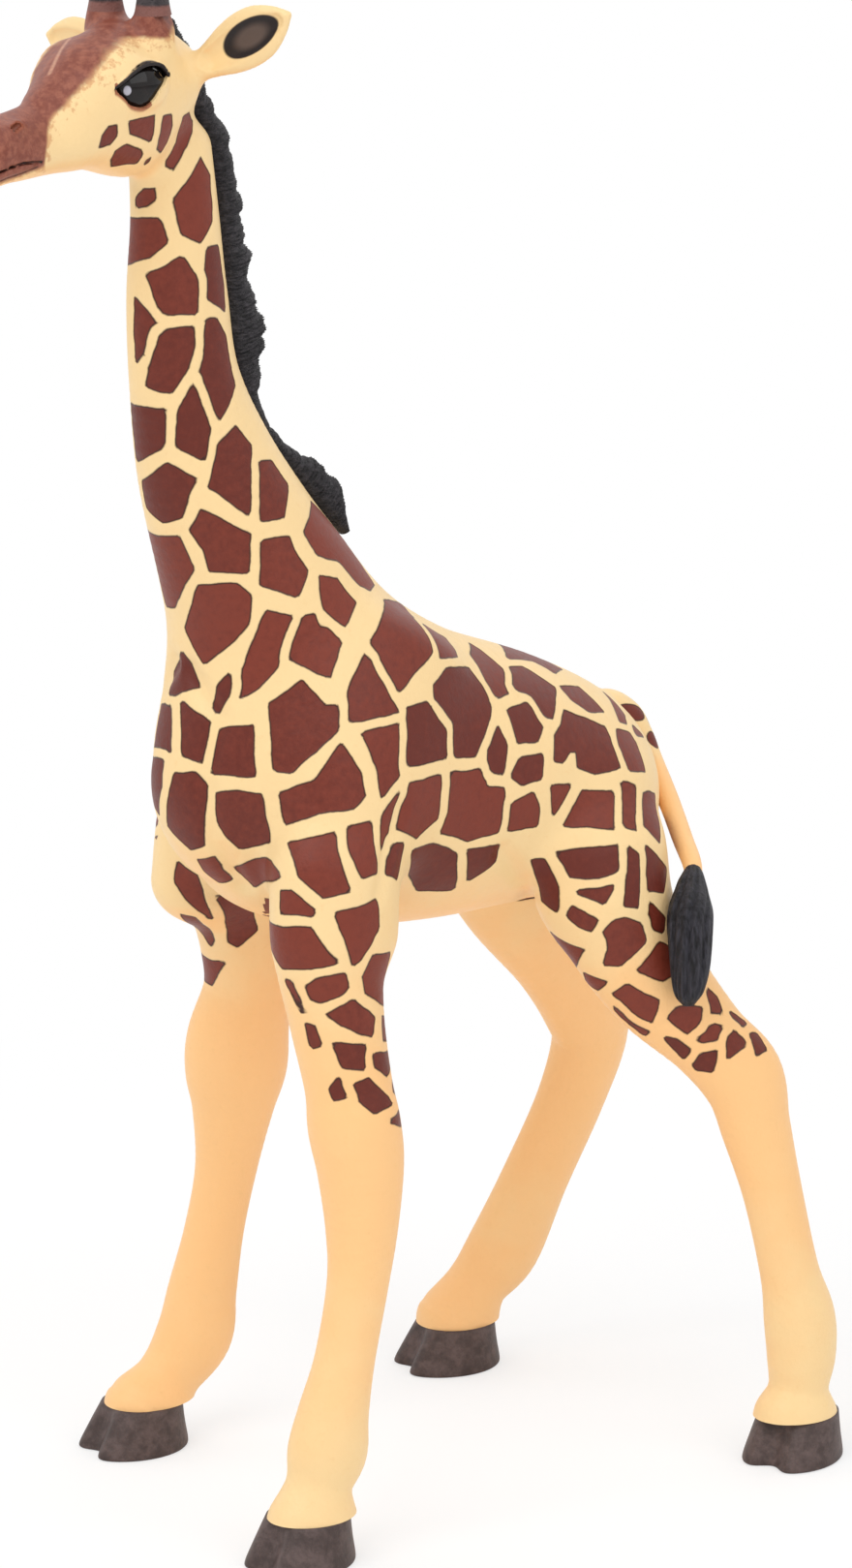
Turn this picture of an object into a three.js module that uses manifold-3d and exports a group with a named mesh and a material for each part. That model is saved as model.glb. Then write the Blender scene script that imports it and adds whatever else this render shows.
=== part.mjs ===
import * as THREE from 'three';
import { mergeVertices } from 'three/addons/utils/BufferGeometryUtils.js';
import Module from 'manifold-3d';

// A moulded vinyl giraffe calf that stands on four spread legs and looks to its left.
// Millimetres, +Z up. The calf faces -Y, its left side is +X and the floor is z = 0.
// The body is one smooth form of blended members, parted into the pieces that are moulded
// apart and pushed together with a peg in a socket.

const wasm = await Module();
wasm.setup();
const { Manifold, Mesh } = wasm;

// Fits and cutting
const clearance = 0.3; // between two pieces that are pushed together
const overrun = 1.5; // how far a cutting or joining solid passes the face that it meets

// Facets: the cell of the grid on which a blended form is turned into facets
const trunkCell = 2.36;
const neckCell = 2.1;
const headCell = 1.35;
const legCell = 1.92;

// The legs' tops, from the floor
const shoulderHeight = 58;
const hipHeight = 55;

// Trunk: its members run from the breast back to the rump
const trunkLength = 40.5;
const trunkWidth = 23;
const trunkDepth = 27.2;
const trunkFront = -19.5; // y of the breast member
const withersRise = 6.6; // how far the trunk's axis is above the shoulders' height
const rumpHeight = hipHeight;
const trunkRise = shoulderHeight + withersRise - rumpHeight;

// Neck: from between the shoulders up to the throat
const neckBack = 7.5; // how far the neck's base is behind the breast member
const neckBaseRise = 5.4; // how far it is above the trunk's axis
const neckRise = 48;
const neckLean = 13.4; // how far the throat is in front of the neck's base
const neckWidth = 18;
const neckDepth = 19.2;
const neckBaseY = trunkFront + neckBack;
const neckBaseHeight = rumpHeight + trunkRise + neckBaseRise;

// Head, from its own origin, a point between the eyes
const headShift = 2.6; // to the calf's left
const headReach = 9.6; // how far the origin is in front of the neck's top
const headRise = 7; // how far the origin is above it
const headTurn = 17; // degrees to the calf's left
const headX = headShift;
const headY = neckBaseY - neckLean - headReach;
const headHeight = neckBaseHeight + neckRise + headRise;
const skullLength = 12.6;
const skullWidth = 9.6;
const skullDepth = 11.8;
const muzzleLength = 12.2; // from the origin to the last nose member
const muzzleWidth = 4.8;
const muzzleDepth = 5.6;
const jawLength = 16.4; // from the jaw's angle to the chin member
const jawWidth = 7.2;
const jawDepth = 7.2;
const browWidth = 3.6; // across one brow
const eyeInset = 0.9; // how far the middle of an eyeball is inside the skull's side
const eyeBack = 1.7; // how far the eyeballs' middles are behind the origin
const eyeDrop = 0.4; // how far they are below it
const eyeTurn = 17; // degrees that an eye looks forward from straight out
const eyeLength = 5;
const eyeHeight = 3.9;
const eyeDepth = 3;

// Ears and ossicones
const earLength = 10;
const earWidth = 4.7;
const earThickness = 1.6;
const earHollow = 0.75; // depth of the cup in the ear's front
const earInset = 1.2; // how far an ear root is inside the skull's side
const earBack = 9.2; // how far the ear roots are behind the origin
const leftEarLift = 30; // degrees above level
const rightEarLift = 8;
const earSweep = 10; // degrees back from straight out
const ossiconeLength = 6.8;
const ossiconeWidth = 2.8;
const ossiconeSpacing = 5;
const ossiconeBack = 5.4; // behind the origin
const ossiconeSink = 3.1; // how far the root is below the crown
const eyeSpacing = skullWidth - eyeInset * 2;
const earSpacing = skullWidth - earInset * 2;
const ossiconeRoot = skullDepth / 2 - ossiconeSink;

// Mane
const maneRoot = 1.1; // how deep the mane sits in its groove
const maneHeight = 3.4; // tallest lock above the neck
const maneWidth = 3;

// Front legs
const shoulderInset = 1.2; // how far the leg's middle is inside the trunk's side
const shoulderBack = 5.3; // how far it is behind the breast member
const shoulderSpacing = trunkWidth - shoulderInset * 2;
const shoulderY = trunkFront + shoulderBack;
const foreLegWidth = 7.4;
const foreLegDepth = 8.2;
const leftForeSpread = 5.7; // how far the foot stands outside the shoulder
const leftForeSweep = -8.6; // how far the foot stands behind the shoulder
const rightForeSpread = 6.1;
const rightForeSweep = -4.4;

// Hind legs
const hipInset = 2; // how far the leg's middle is inside the trunk's side
const hipFront = 7; // how far it is in front of the rump
const hipSpacing = trunkWidth - hipInset * 2;
const hipY = trunkFront + trunkLength - hipFront;
const hindLegWidth = 7.6;
const hindLegDepth = 13;
const leftHindSpread = 9.8;
const leftHindSweep = 12.8;
const rightHindSpread = 9.2;
const rightHindSweep = 13.2;

// Hooves
const hoofLength = 10.2;
const hoofWidth = 8.3;
const hoofHeight = 4.1;
const cleftDepth = 1.7; // how far the toe is notched
const cleftWidth = 1.5;
const leftForeLead = 1.2; // how far the hoof's middle is in front of the pastern's
const rightForeLead = 1.6;
const leftHindLead = 0.2;
const rightHindLead = 1.2;
const leftForeTurn = 8; // degrees that the toe points outward, to the calf's left
const rightForeTurn = -5;
const leftHindTurn = 20;
const rightHindTurn = -12;

// Tail and its tuft
const tailSink = 2; // how far the root is in front of the rump's end
const tailRise = 11.3; // how far it is above the rump's axis
const tailRootY = trunkFront + trunkLength - tailSink;
const tailRootHeight = rumpHeight + tailRise;
const tailDrop = 12.6;
const tailReach = 3.75; // how far the tail bends out behind its root
const tailStandOff = 1.9; // how far its end hangs left of the trunk's side
const tailSwing = trunkWidth / 2 + tailStandOff;
const tailWidth = 3;
const tuftLength = 10.8;
const tuftWidth = 3.8;
const tuftSwing = 4.4; // how far its tip hangs left of its top
const tuftLead = 4; // how far its tip hangs in front of its top

// Where the body is parted: heights in the middle of the leg cuts, and the slopes of the cuts
const foreCutDrop = 5.5; // below the shoulder
const hindCutDrop = 3.5; // below the hip
const forePartingHeight = shoulderHeight - foreCutDrop;
const hindPartingHeight = hipHeight - hindCutDrop;
const neckSlope = 16; // degrees, lower at the breast
const headSlope = 24; // degrees, lower at the throat
const legSlope = 40; // degrees, lower between the legs
const foreLegRoom = 10.7; // how far the cut reaches behind the shoulder
const hindLegRoom = 13; // how far it reaches in front of the hip

// Pegs that join the pieces
const neckPegRadius = 4;
const headPegRadius = 1.5; // leaves a wall to the mane's groove
const limbPegRadius = 2.2;
const limbPegLength = 4;
const hoofPegRadius = 1.2;
const hoofPegLength = 2.2;

// How softly the members run into each other
const neckBlend = 5;
const shoulderBlend = 2.5;
const haunchBlend = 3;
const legBlend = 2;
const headBlend = 2;
const faceBlend = 1.2;

const degree = Math.PI / 180;

// Counts of points round a section
const pegSides = 12;
const hoofSides = 20;
const earSides = 12;
const maneSides = 10;
const tailSides = 8;
const eyeSides = 12;
const eyeRings = 8;

// Rows of shares along a member, chosen by hand. Each row is a station of the member.
// Trunk: along the length, up the rise, of the width, of the depth
const trunkShares = [
  [0, 0.88, 0.61, 0.66],
  [0.11, 1, 0.85, 0.93],
  [0.29, 0.9, 0.98, 1],
  [0.46, 0.74, 1, 0.93],
  [0.65, 0.6, 0.95, 0.82],
  [0.81, 0.4, 0.82, 0.7],
  [0.87, 0.2, 0.62, 0.52],
  [0.93, 0.02, 0.38, 0.34],
];
// Neck: up the rise, along the lean, of the width, of the depth
const neckShares = [
  [0, 0, 1, 1],
  [0.16, 0.27, 0.89, 0.92],
  [0.3, 0.52, 0.71, 0.77],
  [0.45, 0.76, 0.56, 0.63],
  [0.6, 0.91, 0.45, 0.5],
  [0.75, 0.96, 0.39, 0.46],
  [0.88, 0.97, 0.36, 0.4],
  [1, 1, 0.34, 0.37],
];
// Shoulder blade: along x, y and height from the top of the leg, of the leg's width and depth
const foreBladeShares = [
  [-0.37, 0.84, 0.28, 0.86, 1.46],
  [-0.16, 0.26, 0.14, 1.08, 1.83],
  [-0.07, -0.12, 0, 1.16, 1.32],
  [0, -0.2, -0.09, 1.08, 1.22],
];
// Haunch: the same columns, from the top of the hind leg
const haunchShares = [
  [-0.31, -0.05, 0.08, 1.05, 0.74],
  [-0.1, -0.13, 0, 1.18, 0.9],
  [0.04, -0.19, -0.07, 1.05, 0.84],
];
// Legs: height of the shoulder or hip, of the spread, of the sweep, of the width, of the depth
const leftForeShares = [
  [1, 0, 0.3, 1.08, 1.24],
  [0.9, 0.09, 0.37, 1.05, 1.22],
  [0.79, 0.23, 0.34, 0.97, 1.02],
  [0.69, 0.4, 0.28, 0.92, 0.93],
  [0.63, 0.51, 0.26, 1, 0.98],
  [0.57, 0.6, 0.23, 0.92, 0.93],
  [0.48, 0.7, 0.26, 0.76, 0.78],
  [0.4, 0.79, 0.35, 0.62, 0.68],
  [0.29, 0.84, 0.53, 0.62, 0.66],
  [0.21, 0.9, 0.7, 0.73, 0.78],
  [0.16, 0.95, 0.79, 0.78, 0.88],
  [0.11, 0.98, 0.91, 0.68, 0.73],
  [0.05, 1, 1, 0.95, 1.05],
];
const rightForeShares = [
  [1, 0, -0.39, 1.08, 1.37],
  [0.9, 0.11, -0.41, 1.05, 1.12],
  [0.8, 0.23, -0.72, 0.95, 0.98],
  [0.72, 0.34, -0.88, 0.95, 0.95],
  [0.64, 0.45, -0.76, 1.05, 1.15],
  [0.59, 0.51, -0.77, 1.05, 1.15],
  [0.53, 0.57, -0.75, 0.86, 0.93],
  [0.43, 0.67, -0.66, 0.65, 0.71],
  [0.33, 0.77, -0.45, 0.62, 0.68],
  [0.23, 0.87, -0.23, 0.7, 0.8],
  [0.16, 0.92, -0.07, 0.78, 0.88],
  [0.1, 0.97, 0.52, 0.68, 0.73],
  [0.05, 1, 0.98, 0.95, 1.05],
];
const leftHindShares = [
  [1, 0, -0.17, 1.1, 0.88],
  [0.91, 0.15, -0.13, 1, 0.85],
  [0.8, 0.32, 0.11, 0.84, 0.74],
  [0.7, 0.52, 0.45, 0.74, 0.57],
  [0.63, 0.66, 0.68, 0.76, 0.58],
  [0.55, 0.74, 0.75, 0.68, 0.5],
  [0.44, 0.85, 0.84, 0.61, 0.42],
  [0.31, 0.92, 0.95, 0.61, 0.42],
  [0.23, 0.96, 1.02, 0.74, 0.51],
  [0.17, 0.98, 1.03, 0.74, 0.49],
  [0.11, 0.99, 1, 0.66, 0.43],
  [0.06, 1, 0.97, 0.92, 0.64],
];
const rightHindShares = [
  [1, -0.05, -0.15, 1.1, 0.97],
  [0.87, 0.05, 0.23, 0.97, 0.97],
  [0.73, 0.22, 0.68, 0.84, 0.77],
  [0.62, 0.4, 0.98, 0.79, 0.65],
  [0.55, 0.51, 1.09, 0.74, 0.58],
  [0.44, 0.62, 0.98, 0.63, 0.53],
  [0.31, 0.76, 0.76, 0.61, 0.53],
  [0.19, 0.87, 0.54, 0.71, 0.57],
  [0.13, 0.95, 0.35, 0.68, 0.46],
  [0.07, 0.99, 0.2, 0.9, 0.62],
];
// Skull: along its length forward of the origin, up its depth, of its width, of its depth
const skullShares = [
  [-0.76, -0.05, 0.62, 0.54],
  [-0.56, -0.1, 0.9, 0.85],
  [-0.32, -0.14, 1, 1],
  [0, -0.13, 0.91, 0.77],
  [0.26, -0.25, 0.64, 0.6],
];
// Nose: along the muzzle, up its depth, of its width, of its depth
const noseShares = [
  [0.16, -0.4, 0.86, 0.95],
  [0.49, -0.58, 0.8, 0.8],
  [0.78, -0.66, 0.94, 0.72],
  [1, -0.68, 1.04, 0.72],
];
// Jaw: along its length from the jaw's angle, down from the origin in depths, width, depth
const jawShares = [
  [0, -0.66, 1, 1],
  [0.3, -0.61, 0.92, 0.78],
  [0.61, -0.68, 0.75, 0.61],
  [0.85, -0.72, 0.72, 0.56],
  [1, -0.72, 0.61, 0.5],
];
// Brow over each eye: forward in skull lengths, out in eye spacings, up in skull depths, radius
const browShares = [
  [-0.22, 0.38, 0.04, 0.8],
  [-0.04, 0.37, 0.08, 0.95],
  [0.13, 0.31, 0, 0.65],
];
// Mane: along the path, height of the locks, width
const maneShares = [
  [0, 0.1, 0.5],
  [0.04, 0.5, 0.95],
  [0.08, 0.72, 1],
  [0.13, 0.62, 0.9],
  [0.18, 0.32, 0.8],
  [0.24, 0.26, 0.7],
  [0.3, 0.34, 0.7],
  [0.36, 0.7, 0.85],
  [0.41, 1, 1],
  [0.46, 0.98, 1],
  [0.5, 0.7, 0.9],
  [0.55, 0.76, 1],
  [0.6, 0.56, 0.9],
  [0.65, 0.62, 1],
  [0.7, 0.46, 0.85],
  [0.75, 0.54, 0.95],
  [0.81, 0.48, 0.8],
  [0.87, 0.56, 0.85],
  [0.93, 0.5, 0.75],
  [1, 0.1, 0.4],
];
// Tail: down its drop, of its reach, of its swing, of its width
const tailShares = [
  [0.24, -0.8, 0, 0.9],
  [0.08, -0.05, 0, 1.03],
  [0.16, 0.62, 0.01, 1],
  [0.32, 0.93, 0.06, 0.87],
  [0.47, 1, 0.16, 0.73],
  [0.68, 0.75, 0.45, 0.63],
  [0.88, 0.37, 0.75, 0.6],
  [1, 0.03, 0.98, 0.55],
  [1.13, -0.24, 1.09, 0.42],
];
// Tuft: down its length, of its lead, of its swing, of its width
const tuftShares = [
  [0, 0, 0, 0.3],
  [0.06, 0.12, 0.13, 0.5],
  [0.15, 0.31, 0.32, 0.71],
  [0.33, 0.66, 0.7, 1],
  [0.66, 0.84, 0.93, 0.9],
  [0.89, 0.94, 1, 0.66],
  [1, 0.95, 1.02, 0.26],
];
// Ear, across the blade: along the length, of the width, of the thickness, of the hollow
const earShares = [
  [-0.12, 0.5, 1.1, 0],
  [0.08, 0.52, 1.1, 0],
  [0.22, 0.66, 1, 0.35],
  [0.38, 0.88, 1, 0.9],
  [0.56, 1, 0.95, 1],
  [0.74, 0.92, 0.85, 0.9],
  [0.9, 0.56, 0.7, 0.4],
  [1, 0.16, 0.5, 0],
];
// Ossicone profile: of the half width, of the length
const ossiconeShares = [
  [1.3, -0.2],
  [1.25, 0.1],
  [1.02, 0.35],
  [0.9, 0.55],
  [0.96, 0.76],
  [1, 0.86],
  [0.74, 0.96],
];
// Hoof: height, of the length, of the width, how far the ring is moved back, of the cleft
const hoofShares = [
  [0, 0.97, 0.97, 0, 1],
  [0.1, 1, 1, 0, 1],
  [0.55, 0.86, 0.92, 0.04, 0.8],
  [1, 0.72, 0.84, 0.09, 0.4],
];

// Member curves: Catmull-Rom stations with a half width and a half depth at each
const stationSteps = 3; // segments from one station to the next

function smoothStations(rows) {
  const first = rows[0].map((v, k) => 2 * v - rows[1][k]);
  const last = rows[rows.length - 1].map((v, k) => 2 * v - rows[rows.length - 2][k]);
  const all = [first, ...rows, last];
  const out = [];
  for (let i = 1; i < all.length - 2; i += 1) {
    for (let s = 0; s < stationSteps; s += 1) {
      const t = s / stationSteps;
      out.push(all[i].map((p1, k) => {
        const p0 = all[i - 1][k];
        const p2 = all[i + 1][k];
        const p3 = all[i + 2][k];
        const b = (p2 - p0) * t;
        const c = (2 * p0 - 5 * p1 + 4 * p2 - p3) * t * t;
        const d = (3 * p1 - p0 - 3 * p2 + p3) * t * t * t;
        return (2 * p1 + b + c + d) / 2;
      }));
    }
  }
  out.push(rows[rows.length - 1]);
  return out;
}

// A member is a run of tapered elliptical segments. Each keeps what its distance needs.
function member(rows) {
  const stations = smoothStations(rows);
  const side = new THREE.Vector3(1, 0, 0);
  const segments = [];
  for (let i = 0; i + 1 < stations.length; i += 1) {
    const [ax, ay, az, aWide, aDeep] = stations[i];
    const [bx, by, bz, bWide, bDeep] = stations[i + 1];
    const start = new THREE.Vector3(ax, ay, az);
    const along = new THREE.Vector3(bx, by, bz).sub(start);
    const length = along.length();
    along.divideScalar(length);
    const across = side.clone().addScaledVector(along, -side.dot(along)).normalize();
    const through = new THREE.Vector3().crossVectors(along, across);
    segments.push({ start, along, across, through, length, aWide, aDeep, bWide, bDeep });
  }
  return segments;
}

function memberDistance(segments, x, y, z) {
  let best = Infinity;
  for (const s of segments) {
    const rx = x - s.start.x;
    const ry = y - s.start.y;
    const rz = z - s.start.z;
    const t = rx * s.along.x + ry * s.along.y + rz * s.along.z;
    const u = rx * s.across.x + ry * s.across.y + rz * s.across.z;
    const v = rx * s.through.x + ry * s.through.y + rz * s.through.z;
    const share = Math.min(Math.max(t / s.length, 0), 1);
    const wide = s.aWide + (s.bWide - s.aWide) * share;
    const deep = s.aDeep + (s.bDeep - s.aDeep) * share;
    const small = Math.min(wide, deep);
    const past = t - share * s.length;
    const reach = Math.hypot(u / wide, v / deep, past / small);
    best = Math.min(best, (reach - 1) * small);
  }
  return best;
}

function blend(a, b, softness) {
  const h = Math.min(Math.max(0.5 + (b - a) / softness / 2, 0), 1);
  return b + (a - b) * h - softness * h * (1 - h);
}

// Trunk, neck and limbs
const trunkMember = member(trunkShares.map(([along, up, wide, deep]) => [
  0,
  trunkFront + trunkLength * along,
  rumpHeight + trunkRise * up,
  trunkWidth / 2 * wide,
  trunkDepth / 2 * deep,
]));

const neckMember = member(neckShares.map(([up, lean, wide, deep]) => [
  0,
  neckBaseY - neckLean * lean,
  neckBaseHeight + neckRise * up,
  neckWidth / 2 * wide,
  neckDepth / 2 * deep,
]));

function legMember(leg) {
  return member(leg.shares.map(([up, out, back, wide, deep]) => [
    leg.side * (leg.spacing / 2 + leg.spread * out),
    leg.y + leg.sweep * back,
    leg.height * up,
    leg.width / 2 * wide,
    leg.depth / 2 * deep,
  ]));
}

function topMember(leg) {
  return member(leg.topShares.map(([out, back, up, wide, deep]) => [
    leg.side * (leg.spacing / 2) * (1 + out),
    leg.y + leg.depth * back,
    leg.height * (1 + up),
    leg.width / 2 * wide,
    leg.depth / 2 * deep,
  ]));
}

const foreLeg = {
  spacing: shoulderSpacing,
  y: shoulderY,
  height: shoulderHeight,
  width: foreLegWidth,
  depth: foreLegDepth,
  topShares: foreBladeShares,
  topBlend: shoulderBlend,
  partingHeight: forePartingHeight,
  frontRoom: trunkLength,
  backRoom: foreLegRoom,
};
const hindLeg = {
  spacing: hipSpacing,
  y: hipY,
  height: hipHeight,
  width: hindLegWidth,
  depth: hindLegDepth,
  topShares: haunchShares,
  topBlend: haunchBlend,
  partingHeight: hindPartingHeight,
  frontRoom: hindLegRoom,
  backRoom: trunkLength,
};
const legs = {
  left_front: {
    ...foreLeg,
    side: 1,
    spread: leftForeSpread,
    sweep: leftForeSweep,
    hoofTurn: leftForeTurn,
    hoofLead: leftForeLead,
    shares: leftForeShares,
  },
  right_front: {
    ...foreLeg,
    side: -1,
    spread: rightForeSpread,
    sweep: rightForeSweep,
    hoofTurn: rightForeTurn,
    hoofLead: rightForeLead,
    shares: rightForeShares,
  },
  left_hind: {
    ...hindLeg,
    side: 1,
    spread: leftHindSpread,
    sweep: leftHindSweep,
    hoofTurn: leftHindTurn,
    hoofLead: leftHindLead,
    shares: leftHindShares,
  },
  right_hind: {
    ...hindLeg,
    side: -1,
    spread: rightHindSpread,
    sweep: rightHindSweep,
    hoofTurn: rightHindTurn,
    hoofLead: rightHindLead,
    shares: rightHindShares,
  },
};
for (const leg of Object.values(legs)) {
  leg.member = legMember(leg);
  leg.top = topMember(leg);
}

// Head, in its own frame: x to the calf's left, y back, z up, turned about its origin
const headFrame = new THREE.Matrix4()
  .makeRotationZ(headTurn * degree)
  .setPosition(headX, headY, headHeight);
const headInverse = headFrame.clone().invert();

const skullMember = member(skullShares.map(([along, up, wide, deep]) => [
  0,
  -skullLength * along,
  skullDepth * up,
  skullWidth / 2 * wide,
  skullDepth / 2 * deep,
]));
const noseMember = member(noseShares.map(([along, up, wide, deep]) => [
  0,
  -muzzleLength * along,
  muzzleDepth * up,
  muzzleWidth / 2 * wide,
  muzzleDepth / 2 * deep,
]));
const jawMember = member(jawShares.map(([along, up, wide, deep]) => [
  0,
  jawLength * (1 - along) - muzzleLength,
  jawDepth * up,
  jawWidth / 2 * wide,
  jawDepth / 2 * deep,
]));
const browMembers = [1, -1].map((side) => member(browShares.map(([along, out, up, round]) => [
  side * eyeSpacing * out,
  -skullLength * along,
  skullDepth * up,
  browWidth / 2 * round,
  browWidth / 2 * round,
])));

const probe = new THREE.Vector3();

function headDistance(x, y, z) {
  probe.set(x, y, z).applyMatrix4(headInverse);
  const { x: hx, y: hy, z: hz } = probe;
  let d = memberDistance(skullMember, hx, hy, hz);
  d = blend(d, memberDistance(jawMember, hx, hy, hz), faceBlend);
  d = blend(d, memberDistance(noseMember, hx, hy, hz), faceBlend);
  for (const brow of browMembers) {
    d = blend(d, memberDistance(brow, hx, hy, hz), faceBlend);
  }
  return d;
}

// Distance to the whole body's surface, negative inside
function bodyDistance(x, y, z) {
  let d = memberDistance(trunkMember, x, y, z);
  d = blend(d, memberDistance(neckMember, x, y, z), neckBlend);
  for (const leg of Object.values(legs)) {
    d = blend(d, memberDistance(leg.top, x, y, z), leg.topBlend);
    d = blend(d, memberDistance(leg.member, x, y, z), legBlend);
  }
  return blend(d, headDistance(x, y, z), headBlend);
}

// A closed mesh from flat lists of points and triangles
function solidFrom(points, triangles) {
  return new Manifold(new Mesh({
    numProp: 3,
    vertProperties: new Float32Array(points),
    triVerts: new Uint32Array(triangles),
  }));
}

// Points nearer than this share of the clearance are one point
const mergeShare = 0.01;

function solidOf(geometry) {
  const bare = geometry.clone();
  bare.deleteAttribute('normal');
  bare.deleteAttribute('uv');
  const merged = mergeVertices(bare, clearance * mergeShare);
  return solidFrom(merged.attributes.position.array, merged.index.array);
}

function geometryOf(solid) {
  const mesh = solid.getMesh();
  const geometry = new THREE.BufferGeometry();
  geometry.setAttribute('position', new THREE.BufferAttribute(mesh.vertProperties, 3));
  geometry.setIndex(new THREE.BufferAttribute(mesh.triVerts, 1));
  geometry.computeVertexNormals();
  return geometry;
}

// Facets of a blended form inside a box of space: one point in each cell that the surface
// crosses, drawn onto the surface, and a face across each crossed edge between four cells
function facet(distance, low, high, cell) {
  const count = [0, 1, 2].map((k) => Math.ceil((high[k] - low[k]) / cell) + 1);
  const [nx, ny, nz] = count;
  const value = new Float64Array(nx * ny * nz);
  const at = (i, j, k) => (i * ny + j) * nz + k;
  for (let i = 0; i < nx; i += 1) {
    for (let j = 0; j < ny; j += 1) {
      for (let k = 0; k < nz; k += 1) {
        const rim = i === 0 || j === 0 || k === 0 || i === nx - 1 || j === ny - 1 || k === nz - 1;
        const d = distance(low[0] + cell * i, low[1] + cell * j, low[2] + cell * k);
        value[at(i, j, k)] = rim ? Math.abs(d) : d;
      }
    }
  }
  const points = [];
  const pointOf = new Map();
  const corners = [0, 1, 2, 3, 4, 5, 6, 7].map((c) => [c & 1, (c >> 1) & 1, (c >> 2) & 1]);
  const edges = [];
  corners.forEach((a, p) => corners.forEach((b, q) => {
    const apart = Math.abs(a[0] - b[0]) + Math.abs(a[1] - b[1]) + Math.abs(a[2] - b[2]);
    if (p < q && apart === 1) {
      edges.push([p, q]);
    }
  }));
  for (let i = 0; i + 1 < nx; i += 1) {
    for (let j = 0; j + 1 < ny; j += 1) {
      for (let k = 0; k + 1 < nz; k += 1) {
        const sum = [0, 0, 0];
        let crossed = 0;
        const values = corners.map(([a, b, c]) => value[at(i + a, j + b, k + c)]);
        for (const [p, q] of edges) {
          if (values[p] < 0 !== values[q] < 0) {
            const t = values[p] / (values[p] - values[q]);
            for (let m = 0; m < 3; m += 1) {
              sum[m] += corners[p][m] + (corners[q][m] - corners[p][m]) * t;
            }
            crossed += 1;
          }
        }
        if (crossed > 0) {
          pointOf.set(at(i, j, k), points.length / 3);
          const grid = [i, j, k];
          points.push(...sum.map((s, m) => low[m] + cell * (grid[m] + s / crossed)));
        }
      }
    }
  }
  drawOnto(distance, points, cell);
  const triangles = [];
  const steps = [[1, 0, 0], [0, 1, 0], [0, 0, 1]];
  for (let i = 0; i + 1 < nx; i += 1) {
    for (let j = 0; j + 1 < ny; j += 1) {
      for (let k = 0; k + 1 < nz; k += 1) {
        steps.forEach((step, axis) => {
          const here = value[at(i, j, k)] < 0;
          const next = value[at(i + step[0], j + step[1], k + step[2])] < 0;
          const place = [i, j, k];
          const inner = place[(axis + 1) % 3] > 0 && place[(axis + 2) % 3] > 0;
          if (here !== next && inner) {
            const b = steps[(axis + 1) % 3];
            const c = steps[(axis + 2) % 3];
            const around = [[1, 1], [0, 1], [0, 0], [1, 0]].map(([p, q]) => pointOf.get(at(
              i - b[0] * p - c[0] * q,
              j - b[1] * p - c[1] * q,
              k - b[2] * p - c[2] * q,
            )));
            const [v0, v1, v2, v3] = here ? around : around.reverse();
            triangles.push(v0, v1, v2, v0, v2, v3);
          }
        });
      }
    }
  }
  return solidFrom(points, triangles);
}

// Moves each point along the slope of the distance until it lies on the surface
const probeShare = 0.05; // of a cell, between the points where the slope is measured
const mostMoveShare = 0.45; // of a cell, so that no facet folds over
const leastSlope = 0.2;

function drawOnto(distance, points, cell) {
  const h = cell * probeShare;
  const most = cell * mostMoveShare;
  for (let n = 0; n < points.length; n += 3) {
    for (let pass = 0; pass < 2; pass += 1) {
      const [x, y, z] = points.slice(n, n + 3);
      const d = distance(x, y, z);
      const slope = [
        (distance(x + h, y, z) - distance(x - h, y, z)) / (2 * h),
        (distance(x, y + h, z) - distance(x, y - h, z)) / (2 * h),
        (distance(x, y, z + h) - distance(x, y, z - h)) / (2 * h),
      ];
      const steep = slope[0] ** 2 + slope[1] ** 2 + slope[2] ** 2;
      const move = Math.min(Math.max(d / Math.max(steep, leastSlope), -most), most);
      slope.forEach((s, k) => {
        points[n + k] -= move * s;
      });
    }
  }
}

// A loft through rings that each have as many points, closed by a fan at both ends
function loft(rings) {
  const around = rings[0].length;
  const points = rings.flat(2);
  const triangles = [];
  for (let r = 0; r + 1 < rings.length; r += 1) {
    for (let i = 0; i < around; i += 1) {
      const a = r * around + i;
      const b = r * around + (i + 1) % around;
      triangles.push(a, b, b + around, a, b + around, a + around);
    }
  }
  const ends = [[0, rings[0], false], [(rings.length - 1) * around, rings.at(-1), true]];
  for (const [base, ring, forward] of ends) {
    const middle = points.length / 3;
    points.push(...[0, 1, 2].map((k) => ring.reduce((sum, p) => sum + p[k], 0) / around));
    for (let i = 0; i < around; i += 1) {
      const a = base + i;
      const b = base + (i + 1) % around;
      triangles.push(...(forward ? [a, b, middle] : [b, a, middle]));
    }
  }
  return solidFrom(points, triangles);
}

// The block of space beyond a parting plane, as far as the limb's own room reaches
function block(parting, setback) {
  const { middle, normal, room, reach } = parting;
  const up = new THREE.Vector3(0, 0, 1);
  const geometry = new THREE.BoxGeometry(reach * 2, reach * 2, reach);
  geometry.applyQuaternion(new THREE.Quaternion().setFromUnitVectors(up, normal));
  geometry.translate(...middle.clone().addScaledVector(normal, reach / 2 + setback));
  const size = room.getSize(new THREE.Vector3());
  const around = new THREE.BoxGeometry(...size);
  around.translate(...room.getCenter(new THREE.Vector3()));
  return solidOf(geometry).intersect(solidOf(around));
}

// Distance to that space, negative inside
function blockDistance(parting, setback) {
  const { middle, normal, room } = parting;
  return (x, y, z) => Math.max(
    setback - normal.x * (x - middle.x) - normal.y * (y - middle.y) - normal.z * (z - middle.z),
    room.min.x - x,
    x - room.max.x,
    room.min.y - y,
    y - room.max.y,
    room.min.z - z,
    z - room.max.z,
  );
}

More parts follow.
